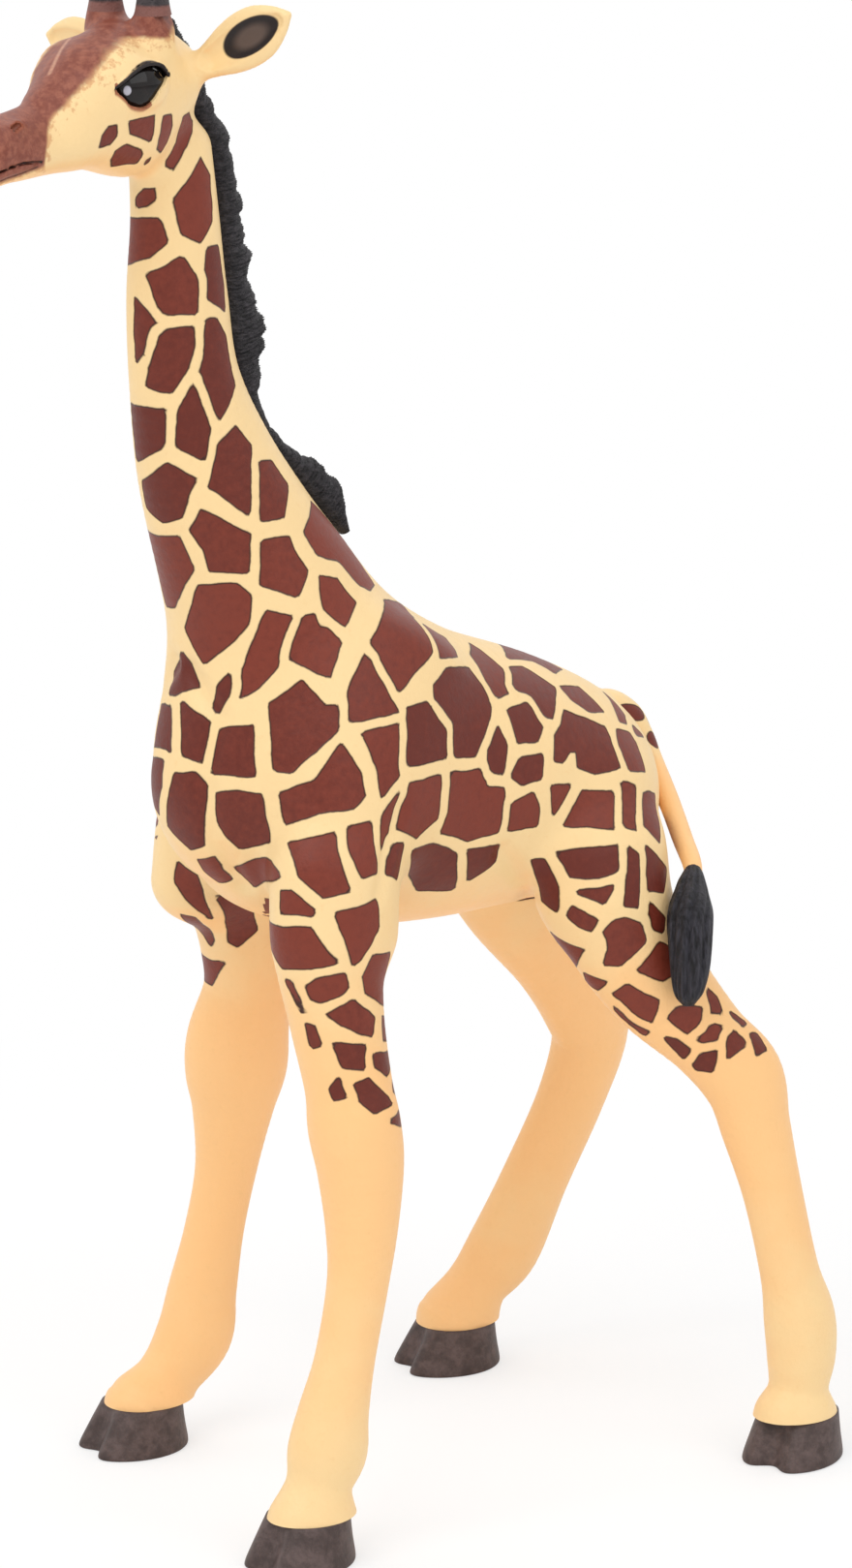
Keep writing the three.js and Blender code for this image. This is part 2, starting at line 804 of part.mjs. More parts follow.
// A round peg that stands on a parting plane and reaches into the piece behind it
function peg(parting, radius, length, extra) {
  const wide = radius + extra;
  const geometry = new THREE.CylinderGeometry(wide, wide, length + overrun + extra, pegSides);
  geometry.rotateX(Math.PI / 2);
  geometry.translate(0, 0, -(length + extra - overrun) / 2);
  const up = new THREE.Vector3(0, 0, 1);
  geometry.applyQuaternion(new THREE.Quaternion().setFromUnitVectors(up, parting.normal));
  geometry.translate(...parting.middle);
  return solidOf(geometry);
}

function partingAt(middle, normal, low, high, reach) {
  return {
    middle: new THREE.Vector3(...middle),
    normal: new THREE.Vector3(...normal).normalize(),
    room: new THREE.Box3(new THREE.Vector3(...low), new THREE.Vector3(...high)),
    reach,
  };
}

// Parting planes, each with the room that its limb takes beyond it. The shares place the
// middle of a cut along the neck's lean and up its rise.
const neckCutShares = [0.24, 0.19];
const headCutShares = [1.02, 0.97];
const aboveAll = headHeight + skullDepth * 2;

function neckPoint([lean, up]) {
  return [0, neckBaseY - neckLean * lean, neckBaseHeight + neckRise * up];
}

const neckParting = partingAt(
  neckPoint(neckCutShares),
  [0, -Math.sin(neckSlope * degree), Math.cos(neckSlope * degree)],
  [-trunkLength, -trunkLength * 2, neckBaseHeight],
  [trunkLength, trunkLength, aboveAll],
  trunkLength * 2,
);
const headParting = partingAt(
  neckPoint(headCutShares),
  [0, -Math.sin(headSlope * degree), Math.cos(headSlope * degree)],
  [-skullLength * 2, headY - skullLength * 3, headHeight - skullDepth * 2],
  [skullLength * 2, headY + skullLength * 3, aboveAll],
  skullLength * 4,
);
for (const leg of Object.values(legs)) {
  const [outer, front, back] = [leg.spacing * 2, leg.y - leg.frontRoom, leg.y + leg.backRoom];
  leg.parting = partingAt(
    [leg.side * leg.spacing / 2, leg.y, leg.partingHeight],
    [leg.side * Math.sin(legSlope * degree), 0, -Math.cos(legSlope * degree)],
    [leg.side > 0 ? 0 : -outer, front, -overrun],
    [leg.side > 0 ? outer : 0, back, leg.height + leg.depth],
    leg.height * 2,
  );
}

// Pieces parted from the body
const legRooms = Object.values(legs).map((leg) => blockDistance(leg.parting, overrun));
const neckRoom = blockDistance(neckParting, overrun);

function trunkDistance(x, y, z) {
  let d = Math.max(bodyDistance(x, y, z), -neckRoom(x, y, z));
  for (const room of legRooms) {
    d = Math.max(d, -room(x, y, z));
  }
  return d;
}

let torso = facet(
  trunkDistance,
  [-trunkWidth, trunkFront - trunkDepth / 2, rumpHeight - trunkDepth],
  [trunkWidth, trunkFront + trunkLength + trunkDepth / 2, neckBaseHeight + neckRise / 2],
  trunkCell,
);
torso = torso.subtract(block(neckParting, 0));

const pieces = {};

for (const [name, leg] of Object.entries(legs)) {
  const room = blockDistance(leg.parting, -overrun);
  const foot = leg.side * (leg.spacing / 2 + leg.spread);
  const front = leg.y + Math.min(leg.sweep, 0) - leg.depth;
  const back = leg.y + Math.max(leg.sweep, 0) + leg.depth;
  const low = [Math.min(foot, 0) - leg.width, front, hoofHeight - overrun];
  const high = [Math.max(foot, 0) + leg.width, back, leg.height + leg.depth];
  let limb = facet((x, y, z) => Math.max(bodyDistance(x, y, z), room(x, y, z)), low, high, legCell);
  limb = limb.intersect(block(leg.parting, clearance));
  limb = limb.add(peg(leg.parting, limbPegRadius, limbPegLength, 0));
  torso = torso.subtract(block(leg.parting, 0));
  torso = torso.subtract(peg(leg.parting, limbPegRadius, limbPegLength, clearance));
  pieces[`${name}_leg`] = limb;
}

// Hooves: a ring of points around each level, notched at the toe for the cleft
function hoofRing([up, long, wide, back, cleft], leg) {
  const ring = [];
  for (let i = 0; i < hoofSides; i += 1) {
    const a = i / hoofSides * 2 * Math.PI;
    const toe = Math.min(a, 2 * Math.PI - a);
    const notch = cleftDepth * cleft * Math.exp(-((toe * hoofWidth / cleftWidth / 2) ** 2));
    const x = hoofWidth / 2 * wide * Math.sin(a);
    const y = -(hoofLength / 2 * long - notch) * Math.cos(a) + hoofLength * back;
    ring.push([x, y, hoofHeight * up]);
  }
  const turn = leg.hoofTurn * degree;
  return ring.map(([x, y, z]) => [
    leg.footX + x * Math.cos(turn) - y * Math.sin(turn),
    leg.footY + x * Math.sin(turn) + y * Math.cos(turn),
    z,
  ]);
}

// A leg's axis at a height near its foot
function axisAt(leg, height) {
  const [lower, upper] = [leg.shares.at(-1), leg.shares.at(-2)];
  const rise = (height / leg.height - lower[0]) / (upper[0] - lower[0]);
  const [out, back] = [1, 2].map((k) => lower[k] + (upper[k] - lower[k]) * rise);
  return [leg.side * (leg.spacing / 2 + leg.spread * out), leg.y + leg.sweep * back];
}

for (const [name, leg] of Object.entries(legs)) {
  const last = leg.shares.at(-1);
  leg.footX = leg.side * (leg.spacing / 2 + leg.spread * last[1]);
  leg.footY = leg.y + leg.sweep * last[2] - leg.hoofLead;
  const sole = partingAt(
    [...axisAt(leg, hoofHeight + hoofPegLength / 2), hoofHeight],
    [0, 0, -1],
    [leg.footX - hoofLength * 2, leg.footY - hoofLength * 2, -hoofHeight],
    [leg.footX + hoofLength * 2, leg.footY + hoofLength * 2, hoofHeight * 2],
    hoofLength * 2,
  );
  let limb = pieces[`${name}_leg`];
  limb = limb.subtract(block(sole, -clearance));
  limb = limb.subtract(peg(sole, hoofPegRadius, hoofPegLength, clearance));
  pieces[`${name}_leg`] = limb;
  const hoof = loft(hoofShares.map((row) => hoofRing(row, leg)));
  pieces[`${name}_hoof`] = hoof.add(peg(sole, hoofPegRadius, hoofPegLength, 0));
}

// Neck and head
const headRoom = blockDistance(headParting, overrun);
const neckSpace = blockDistance(neckParting, -overrun);
let neck = facet(
  (x, y, z) => Math.max(bodyDistance(x, y, z), neckSpace(x, y, z), -headRoom(x, y, z)),
  [-neckWidth, neckBaseY - neckLean - neckDepth, neckBaseHeight - overrun],
  [neckWidth, neckBaseY + neckDepth, headHeight + skullDepth],
  neckCell,
);
neck = neck.intersect(block(neckParting, clearance));
neck = neck.subtract(block(headParting, 0));
neck = neck.subtract(peg(headParting, headPegRadius, limbPegLength, clearance));
neck = neck.add(peg(neckParting, neckPegRadius, limbPegLength, 0));
torso = torso.subtract(peg(neckParting, neckPegRadius, limbPegLength, clearance));

const headSpace = blockDistance(headParting, -overrun);
let head = facet(
  (x, y, z) => Math.max(bodyDistance(x, y, z), headSpace(x, y, z)),
  [headX - skullLength, headY - muzzleLength - muzzleWidth, headHeight - skullDepth - jawDepth],
  [headX + skullLength, headY + skullLength + skullWidth, headHeight + skullDepth],
  headCell,
);
head = head.intersect(block(headParting, clearance));
head = head.add(peg(headParting, headPegRadius, limbPegLength, 0));

// Ears: lofted blades with a cupped front, rooted in the skull
const earMiddleShare = 0.4;

function ear(side, lift, extra) {
  const rings = earShares.map(([along, wide, thick, hollow]) => {
    const ring = [];
    for (let i = 0; i < earSides; i += 1) {
      const a = i / earSides * 2 * Math.PI;
      const across = Math.cos(a);
      const front = Math.sin(a);
      const cup = front > 0 ? earHollow * hollow * (1 - across ** 2) : 0;
      ring.push(new THREE.Vector3(
        side * (earLength * along + Math.sign(along - earMiddleShare) * extra),
        cup - (earThickness / 2 * thick + extra) * front,
        (earWidth / 2 * wide + extra) * across * side,
      ));
    }
    return ring;
  });
  const place = new THREE.Matrix4()
    .makeRotationY(-side * lift * degree)
    .premultiply(new THREE.Matrix4().makeRotationZ(side * earSweep * degree))
    .setPosition(side * earSpacing / 2, earBack, 0);
  place.premultiply(headFrame);
  return loft(rings.map((ring) => ring.map((p) => p.applyMatrix4(place).toArray())));
}

// Ossicones: turned horns on the crown
function ossicone(side, extra) {
  const profile = [new THREE.Vector2(0, ossiconeLength * ossiconeShares[0][1] - extra)];
  for (const [wide, up] of ossiconeShares) {
    const rise = ossiconeLength * up + Math.sign(up) * extra;
    profile.push(new THREE.Vector2(ossiconeWidth / 2 * wide + extra, rise));
  }
  profile.push(new THREE.Vector2(0, ossiconeLength + extra));
  const geometry = new THREE.LatheGeometry(profile, pegSides);
  geometry.rotateX(Math.PI / 2);
  geometry.translate(side * ossiconeSpacing / 2, ossiconeBack, ossiconeRoot);
  geometry.applyMatrix4(headFrame);
  return solidOf(geometry);
}

// Eyes: glossy lens shapes set in the sides of the skull
function eye(side, extra) {
  const geometry = new THREE.SphereGeometry(1, eyeSides, eyeRings);
  geometry.scale(eyeDepth / 2 + extra, eyeLength / 2 + extra, eyeHeight / 2 + extra);
  geometry.rotateZ(-side * eyeTurn * degree);
  geometry.translate(side * eyeSpacing / 2, eyeBack, -eyeDrop);
  geometry.applyMatrix4(headFrame);
  return solidOf(geometry);
}

const sides = { left: 1, right: -1 };
const earLifts = { left: leftEarLift, right: rightEarLift };
for (const [name, side] of Object.entries(sides)) {
  pieces[`${name}_ear`] = ear(side, earLifts[name], 0);
  head = head.subtract(ear(side, earLifts[name], clearance));
  pieces[`${name}_ossicone`] = ossicone(side, 0);
  head = head.subtract(ossicone(side, clearance));
  pieces[`${name}_eye`] = eye(side, 0);
  head = head.subtract(eye(side, clearance));
}

// Mane: locks along the back of the neck, from the withers to the crown. The path lies on the
// skin: up the neck's rise, along its lean, back from its axis in half depths.
const manePathShares = [
  [0.3, 0.52, 1.12],
  [0.43, 0.73, 0.84],
  [0.52, 0.83, 0.6],
  [0.63, 0.92, 0.53],
  [0.75, 0.96, 0.52],
  [0.87, 0.97, 0.48],
  [1, 1, 0.42],
];
// On the head: behind its own origin in skull lengths, above it in skull depths
const crownPathShares = [
  [0.89, -0.03],
  [0.65, 0.37],
];
const manePath = new THREE.CatmullRomCurve3([
  ...manePathShares.map(([up, lean, back]) => new THREE.Vector3(
    0,
    neckBaseY - neckLean * lean + neckDepth / 2 * back,
    neckBaseHeight + neckRise * up,
  )),
  ...crownPathShares.map(([back, up]) => new THREE.Vector3(0, skullLength * back, skullDepth * up)
    .applyMatrix4(headFrame)),
]);

function mane(extra) {
  const rings = maneShares.map(([along, tall, wide]) => {
    const at = manePath.getPointAt(along);
    const way = manePath.getTangentAt(along);
    const out = new THREE.Vector3(0, way.z, -way.y);
    const ring = [];
    for (let i = 0; i < maneSides; i += 1) {
      const a = -i / maneSides * 2 * Math.PI;
      const across = (maneWidth / 2 * wide + extra) * Math.sin(a);
      const rise = Math.cos(a) > 0 ? maneHeight * tall + extra : maneRoot + extra;
      const p = at.clone().addScaledVector(out, rise * Math.cos(a));
      ring.push([p.x + across, p.y, p.z]);
    }
    return ring;
  });
  return loft(rings);
}

pieces.mane = mane(0);
const groove = mane(clearance);
neck = neck.subtract(groove);
head = head.subtract(groove);

// Tail and tuft
function tube(rows, extra) {
  const stations = smoothStations(rows);
  const points = stations.map(([x, y, z]) => new THREE.Vector3(x, y, z));
  const side = new THREE.Vector3(1, 0, 0);
  const rings = stations.map(([, , , radius], n) => {
    const way = points[Math.min(n + 1, points.length - 1)].clone()
      .sub(points[Math.max(n - 1, 0)]).normalize();
    const across = side.clone().addScaledVector(way, -side.dot(way)).normalize();
    const out = new THREE.Vector3().crossVectors(way, across);
    const ends = n === 0 ? -extra : n === points.length - 1 ? extra : 0;
    const ring = [];
    for (let i = 0; i < tailSides; i += 1) {
      const a = -i / tailSides * 2 * Math.PI;
      ring.push(points[n].clone()
        .addScaledVector(across, (radius + extra) * Math.sin(a))
        .addScaledVector(out, (radius + extra) * Math.cos(a))
        .addScaledVector(way, ends)
        .toArray());
    }
    return ring;
  });
  return loft(rings);
}

const tailRows = tailShares.map(([down, back, swing, wide]) => [
  tailSwing * swing,
  tailRootY + tailReach * back,
  tailRootHeight - tailDrop * down,
  tailWidth / 2 * wide,
]);
const tuftRows = tuftShares.map(([down, lead, swing, wide]) => [
  tailSwing + tuftSwing * swing,
  tailRootY - tuftLead * lead,
  tailRootHeight - tailDrop - tuftLength * down,
  tuftWidth / 2 * wide,
]);
pieces.tail = tube(tailRows, 0);
torso = torso.subtract(tube(tailRows, clearance));
pieces.tail_tuft = tube(tuftRows, 0).subtract(tube(tailRows, clearance));

pieces.torso = torso;
pieces.neck = neck;
pieces.head = head;

// Finishes
const coat = { color: 0x7d4332, roughness: 0.45 };
const cream = { color: 0xf6cf98, roughness: 0.45 };
const horn = { color: 0x5c5150, roughness: 0.5 };
const hair = { color: 0x35322f, roughness: 0.6 };
const glass = { color: 0x0d0b0b, roughness: 0.12 };
const tints = {
  torso: coat,
  neck: coat,
  head: cream,
  mane: hair,
  tail: cream,
  tail_tuft: hair,
};

function finishOf(name) {
  if (name.endsWith('hoof')) {
    return horn;
  }
  if (name.endsWith('ossicone')) {
    return hair;
  }
  if (name.endsWith('eye')) {
    return glass;
  }
  return tints[name] ?? cream;
}

const calf = new THREE.Group();
for (const [name, solid] of Object.entries(pieces)) {
  const material = new THREE.MeshStandardMaterial({ ...finishOf(name), metalness: 0 });
  const mesh = new THREE.Mesh(geometryOf(solid), material);
  mesh.name = name;
  calf.add(mesh);
}

// Stand the calf with the middle of its footprint's box at the origin
const bounds = new THREE.Box3().setFromObject(calf);
const centre = bounds.getCenter(new THREE.Vector3());
calf.position.set(-centre.x, -centre.y, -bounds.min.z);
calf.updateMatrixWorld(true);

export default calf;
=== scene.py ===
"""Painted giraffe calf figure, with the floor, light and camera that it is shown in.

Sizes are millimetres in the calf's own coordinates, the same as its solids: it faces -Y, its left
side is +X and the floor is z = 0. A finished mesh is moved into the frame in metres by place().
"""
import math

import bmesh
import bpy
import numpy as np
from mathutils import Matrix, Vector


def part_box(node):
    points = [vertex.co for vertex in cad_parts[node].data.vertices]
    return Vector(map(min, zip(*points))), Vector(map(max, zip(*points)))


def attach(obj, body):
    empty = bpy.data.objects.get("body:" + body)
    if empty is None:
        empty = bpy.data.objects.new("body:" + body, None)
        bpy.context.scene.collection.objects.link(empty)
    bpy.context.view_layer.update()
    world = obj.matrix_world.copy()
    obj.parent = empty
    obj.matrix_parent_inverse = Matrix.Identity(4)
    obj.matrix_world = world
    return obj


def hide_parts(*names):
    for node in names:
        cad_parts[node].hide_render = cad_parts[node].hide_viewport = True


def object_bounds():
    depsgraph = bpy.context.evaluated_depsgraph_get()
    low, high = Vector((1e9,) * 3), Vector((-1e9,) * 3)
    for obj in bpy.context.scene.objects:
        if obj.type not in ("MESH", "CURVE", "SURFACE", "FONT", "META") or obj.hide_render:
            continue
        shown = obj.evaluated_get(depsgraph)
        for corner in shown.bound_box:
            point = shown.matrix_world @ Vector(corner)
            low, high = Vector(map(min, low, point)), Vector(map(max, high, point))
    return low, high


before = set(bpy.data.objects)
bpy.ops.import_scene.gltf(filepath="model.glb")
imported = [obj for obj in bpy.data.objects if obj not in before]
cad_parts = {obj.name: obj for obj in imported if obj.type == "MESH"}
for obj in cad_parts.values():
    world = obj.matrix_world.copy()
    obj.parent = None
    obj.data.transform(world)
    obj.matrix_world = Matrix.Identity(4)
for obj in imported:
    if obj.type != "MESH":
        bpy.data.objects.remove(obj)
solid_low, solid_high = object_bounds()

MM = 0.001
DEGREE = math.pi / 180

# The legs' tops, from the floor
SHOULDER_HEIGHT = 58
HIP_HEIGHT = 55

# Trunk: its members run from the breast back to the rump
TRUNK_LENGTH = 40.5
TRUNK_WIDTH = 23
TRUNK_DEPTH = 27.2
TRUNK_FRONT = -19.5  # y of the breast member
WITHERS_RISE = 6.6  # how far the trunk's axis is above the shoulders' height
RUMP_HEIGHT = HIP_HEIGHT
TRUNK_RISE = SHOULDER_HEIGHT + WITHERS_RISE - RUMP_HEIGHT

# Neck: from between the shoulders up to the throat
NECK_BACK = 7.5  # how far the neck's base is behind the breast member
NECK_BASE_RISE = 5.4  # how far it is above the trunk's axis
NECK_RISE = 48
NECK_LEAN = 13.4  # how far the throat is in front of the neck's base
NECK_WIDTH = 18
NECK_DEPTH = 19.2
NECK_BASE_Y = TRUNK_FRONT + NECK_BACK
NECK_BASE_HEIGHT = RUMP_HEIGHT + TRUNK_RISE + NECK_BASE_RISE

# Head, from its own origin, a point between the eyes
HEAD_SHIFT = 2.6  # to the calf's left
HEAD_REACH = 9.6  # how far the origin is in front of the neck's top
HEAD_RISE = 7  # how far the origin is above it
HEAD_TURN = 17  # degrees to the calf's left
HEAD_Y = NECK_BASE_Y - NECK_LEAN - HEAD_REACH
HEAD_HEIGHT = NECK_BASE_HEIGHT + NECK_RISE + HEAD_RISE
SKULL_LENGTH = 12.6
SKULL_WIDTH = 9.6
SKULL_DEPTH = 11.8
MUZZLE_LENGTH = 12.2  # from the origin to the last nose member
MUZZLE_WIDTH = 4.8
MUZZLE_DEPTH = 5.6
JAW_LENGTH = 16.4  # from the jaw's angle to the chin member
JAW_WIDTH = 7.2
JAW_DEPTH = 7.2
BROW_WIDTH = 3.6  # across one brow
EYE_INSET = 0.9  # how far the middle of an eyeball is inside the skull's side
EYE_BACK = 1.7  # how far the eyeballs' middles are behind the origin
EYE_DROP = 0.4  # how far they are below it
EYE_TURN = 17  # degrees that an eye looks forward from straight out
EYE_LENGTH = 5
EYE_HEIGHT = 3.9
EYE_DEPTH = 3

# Ears and ossicones
EAR_LENGTH = 10
EAR_WIDTH = 4.7
EAR_THICKNESS = 1.6
EAR_HOLLOW = 0.75  # depth of the cup in the ear's front
EAR_INSET = 1.2  # how far an ear root is inside the skull's side
EAR_BACK = 9.2  # how far the ear roots are behind the origin
LEFT_EAR_LIFT = 30  # degrees above level
RIGHT_EAR_LIFT = 8
EAR_SWEEP = 10  # degrees back from straight out
OSSICONE_LENGTH = 6.8
OSSICONE_WIDTH = 2.8
OSSICONE_SPACING = 5
OSSICONE_BACK = 5.4  # behind the origin
OSSICONE_SINK = 3.1  # how far the root is below the crown
EYE_SPACING = SKULL_WIDTH - EYE_INSET * 2
EAR_SPACING = SKULL_WIDTH - EAR_INSET * 2
OSSICONE_ROOT = SKULL_DEPTH / 2 - OSSICONE_SINK

# Mane
MANE_ROOT = 1.1  # how deep the mane sits in its groove
MANE_HEIGHT = 3.4  # tallest lock above the neck
MANE_WIDTH = 3

# Front legs
SHOULDER_INSET = 1.2  # how far the leg's middle is inside the trunk's side
SHOULDER_BACK = 5.3  # how far it is behind the breast member
SHOULDER_SPACING = TRUNK_WIDTH - SHOULDER_INSET * 2
SHOULDER_Y = TRUNK_FRONT + SHOULDER_BACK
FORE_LEG_WIDTH = 7.4
FORE_LEG_DEPTH = 8.2
LEFT_FORE_SPREAD = 5.7  # how far the foot stands outside the shoulder
LEFT_FORE_SWEEP = -8.6  # how far the foot stands behind the shoulder
RIGHT_FORE_SPREAD = 6.1
RIGHT_FORE_SWEEP = -4.4

# Hind legs
HIP_INSET = 2  # how far the leg's middle is inside the trunk's side
HIP_FRONT = 7  # how far it is in front of the rump
HIP_SPACING = TRUNK_WIDTH - HIP_INSET * 2
HIP_Y = TRUNK_FRONT + TRUNK_LENGTH - HIP_FRONT
HIND_LEG_WIDTH = 7.6
HIND_LEG_DEPTH = 13
LEFT_HIND_SPREAD = 9.8
LEFT_HIND_SWEEP = 12.8
RIGHT_HIND_SPREAD = 9.2
RIGHT_HIND_SWEEP = 13.2

# Hooves
HOOF_LENGTH = 10.2
HOOF_WIDTH = 8.3
HOOF_HEIGHT = 4.1
CLEFT_DEPTH = 1.7  # how far the toe is notched
CLEFT_WIDTH = 1.5
LEFT_FORE_LEAD = 1.2  # how far the hoof's middle is in front of the pastern's
RIGHT_FORE_LEAD = 1.6
LEFT_HIND_LEAD = 0.2
RIGHT_HIND_LEAD = 1.2
LEFT_FORE_TURN = 8  # degrees that the toe points outward, to the calf's left
RIGHT_FORE_TURN = -5
LEFT_HIND_TURN = 20
RIGHT_HIND_TURN = -12

# Tail and its tuft
TAIL_SINK = 2  # how far the root is in front of the rump's end
TAIL_RISE = 11.3  # how far it is above the rump's axis
TAIL_ROOT_Y = TRUNK_FRONT + TRUNK_LENGTH - TAIL_SINK
TAIL_ROOT_HEIGHT = RUMP_HEIGHT + TAIL_RISE
TAIL_DROP = 12.6
TAIL_REACH = 3.75  # how far the tail bends out behind its root
TAIL_STAND_OFF = 1.9  # how far its end hangs left of the trunk's side
TAIL_SWING = TRUNK_WIDTH / 2 + TAIL_STAND_OFF
TAIL_WIDTH = 3
TUFT_LENGTH = 10.8
TUFT_WIDTH = 3.8
TUFT_SWING = 4.4  # how far its tip hangs left of its top
TUFT_LEAD = 4  # how far its tip hangs in front of its top

# Where the body is parted: heights in the middle of the leg cuts, and the slopes of the cuts
FORE_CUT_DROP = 5.5  # below the shoulder
HIND_CUT_DROP = 3.5  # below the hip
FORE_PARTING_HEIGHT = SHOULDER_HEIGHT - FORE_CUT_DROP
HIND_PARTING_HEIGHT = HIP_HEIGHT - HIND_CUT_DROP
NECK_SLOPE = 16  # degrees, lower at the breast
HEAD_SLOPE = 24  # degrees, lower at the throat
LEG_SLOPE = 40  # degrees, lower between the legs
FORE_LEG_ROOM = 10.7  # how far the cut reaches behind the shoulder
HIND_LEG_ROOM = 13  # how far it reaches in front of the hip

# How softly the members run into each other
NECK_BLEND = 5
SHOULDER_BLEND = 2.5
HAUNCH_BLEND = 3
LEG_BLEND = 2
HEAD_BLEND = 2
FACE_BLEND = 1.2

# Shapes in rows of shares. Trunk: along its length, up its rise, of its width, of its depth
TRUNK_SHARES = [
    (0, 0.88, 0.61, 0.66), (0.11, 1, 0.85, 0.93), (0.29, 0.9, 0.98, 1), (0.46, 0.74, 1, 0.93),
    (0.65, 0.6, 0.95, 0.82), (0.81, 0.4, 0.82, 0.7), (0.87, 0.2, 0.62, 0.52),
    (0.93, 0.02, 0.38, 0.34),
]

# Neck: up its rise, along its lean, of its width, of its depth
NECK_SHARES = [
    (0, 0, 1, 1), (0.16, 0.27, 0.89, 0.92), (0.3, 0.52, 0.71, 0.77), (0.45, 0.76, 0.56, 0.63),
    (0.6, 0.91, 0.45, 0.5), (0.75, 0.96, 0.39, 0.46), (0.88, 0.97, 0.36, 0.4),
    (1, 1, 0.34, 0.37),
]

# Shoulder blade, from the leg's top: out in half spacings, back in the leg's depths, up in
# its heights, of its width, of its depth
FORE_BLADE_SHARES = [
    (-0.37, 0.84, 0.28, 0.86, 1.46), (-0.16, 0.26, 0.14, 1.08, 1.83),
    (-0.07, -0.12, 0, 1.16, 1.32), (0, -0.2, -0.09, 1.08, 1.22),
]

# Haunch: the same columns
HAUNCH_SHARES = [
    (-0.31, -0.05, 0.08, 1.05, 0.74), (-0.1, -0.13, 0, 1.18, 0.9),
    (0.04, -0.19, -0.07, 1.05, 0.84),
]

# Legs: up their height, of their spread, of their sweep, of their width, of their depth
LEFT_FORE_SHARES = [
    (1, 0, 0.3, 1.08, 1.24), (0.9, 0.09, 0.37, 1.05, 1.22), (0.79, 0.23, 0.34, 0.97, 1.02),
    (0.69, 0.4, 0.28, 0.92, 0.93), (0.63, 0.51, 0.26, 1, 0.98), (0.57, 0.6, 0.23, 0.92, 0.93),
    (0.48, 0.7, 0.26, 0.76, 0.78), (0.4, 0.79, 0.35, 0.62, 0.68),
    (0.29, 0.84, 0.53, 0.62, 0.66), (0.21, 0.9, 0.7, 0.73, 0.78),
    (0.16, 0.95, 0.79, 0.78, 0.88), (0.11, 0.98, 0.91, 0.68, 0.73), (0.05, 1, 1, 0.95, 1.05),
]

RIGHT_FORE_SHARES = [
    (1, 0, -0.39, 1.08, 1.37), (0.9, 0.11, -0.41, 1.05, 1.12), (0.8, 0.23, -0.72, 0.95, 0.98),
    (0.72, 0.34, -0.88, 0.95, 0.95), (0.64, 0.45, -0.76, 1.05, 1.15),
    (0.59, 0.51, -0.77, 1.05, 1.15), (0.53, 0.57, -0.75, 0.86, 0.93),
    (0.43, 0.67, -0.66, 0.65, 0.71), (0.33, 0.77, -0.45, 0.62, 0.68),
    (0.23, 0.87, -0.23, 0.7, 0.8), (0.16, 0.92, -0.07, 0.78, 0.88),
    (0.1, 0.97, 0.52, 0.68, 0.73), (0.05, 1, 0.98, 0.95, 1.05),
]

LEFT_HIND_SHARES = [
    (1, 0, -0.17, 1.1, 0.88), (0.91, 0.15, -0.13, 1, 0.85), (0.8, 0.32, 0.11, 0.84, 0.74),
    (0.7, 0.52, 0.45, 0.74, 0.57), (0.63, 0.66, 0.68, 0.76, 0.58),
    (0.55, 0.74, 0.75, 0.68, 0.5), (0.44, 0.85, 0.84, 0.61, 0.42),
    (0.31, 0.92, 0.95, 0.61, 0.42), (0.23, 0.96, 1.02, 0.74, 0.51),
    (0.17, 0.98, 1.03, 0.74, 0.49), (0.11, 0.99, 1, 0.66, 0.43), (0.06, 1, 0.97, 0.92, 0.64),
]

RIGHT_HIND_SHARES = [
    (1, -0.05, -0.15, 1.1, 0.97), (0.87, 0.05, 0.23, 0.97, 0.97),
    (0.73, 0.22, 0.68, 0.84, 0.77), (0.62, 0.4, 0.98, 0.79, 0.65),
    (0.55, 0.51, 1.09, 0.74, 0.58), (0.44, 0.62, 0.98, 0.63, 0.53),
    (0.31, 0.76, 0.76, 0.61, 0.53), (0.19, 0.87, 0.54, 0.71, 0.57),
    (0.13, 0.95, 0.35, 0.68, 0.46), (0.07, 0.99, 0.2, 0.9, 0.62),
]

# Skull: ahead of the origin in lengths, above it in depths, of its width, of its depth
SKULL_SHARES = [
    (-0.76, -0.05, 0.62, 0.54), (-0.56, -0.1, 0.9, 0.85), (-0.32, -0.14, 1, 1),
    (0, -0.13, 0.91, 0.77), (0.26, -0.25, 0.64, 0.6),
]

# Nose: ahead along the muzzle, up in its depths, of its width, of its depth
NOSE_SHARES = [
    (0.16, -0.4, 0.86, 0.95), (0.49, -0.58, 0.8, 0.8), (0.78, -0.66, 0.94, 0.72),
    (1, -0.68, 1.04, 0.72),
]

# Jaw: along it from its angle, up in its depths, of its width, of its depth
JAW_SHARES = [
    (0, -0.66, 1, 1), (0.3, -0.61, 0.92, 0.78), (0.61, -0.68, 0.75, 0.61),
    (0.85, -0.72, 0.72, 0.56), (1, -0.72, 0.61, 0.5),
]

# Brow: ahead in skull lengths, out in eye spacings, up in skull depths, of its width
BROW_SHARES = [
    (-0.22, 0.38, 0.04, 0.8), (-0.04, 0.37, 0.08, 0.95), (0.13, 0.31, 0, 0.65),
]

# Mane: along its path, of its height, of its width
MANE_SHARES = [
    (0, 0.1, 0.5), (0.04, 0.5, 0.95), (0.08, 0.72, 1), (0.13, 0.62, 0.9), (0.18, 0.32, 0.8),
    (0.24, 0.26, 0.7), (0.3, 0.34, 0.7), (0.36, 0.7, 0.85), (0.41, 1, 1), (0.46, 0.98, 1),
    (0.5, 0.7, 0.9), (0.55, 0.76, 1), (0.6, 0.56, 0.9), (0.65, 0.62, 1), (0.7, 0.46, 0.85),
    (0.75, 0.54, 0.95), (0.81, 0.48, 0.8), (0.87, 0.56, 0.85), (0.93, 0.5, 0.75),
    (1, 0.1, 0.4),
]

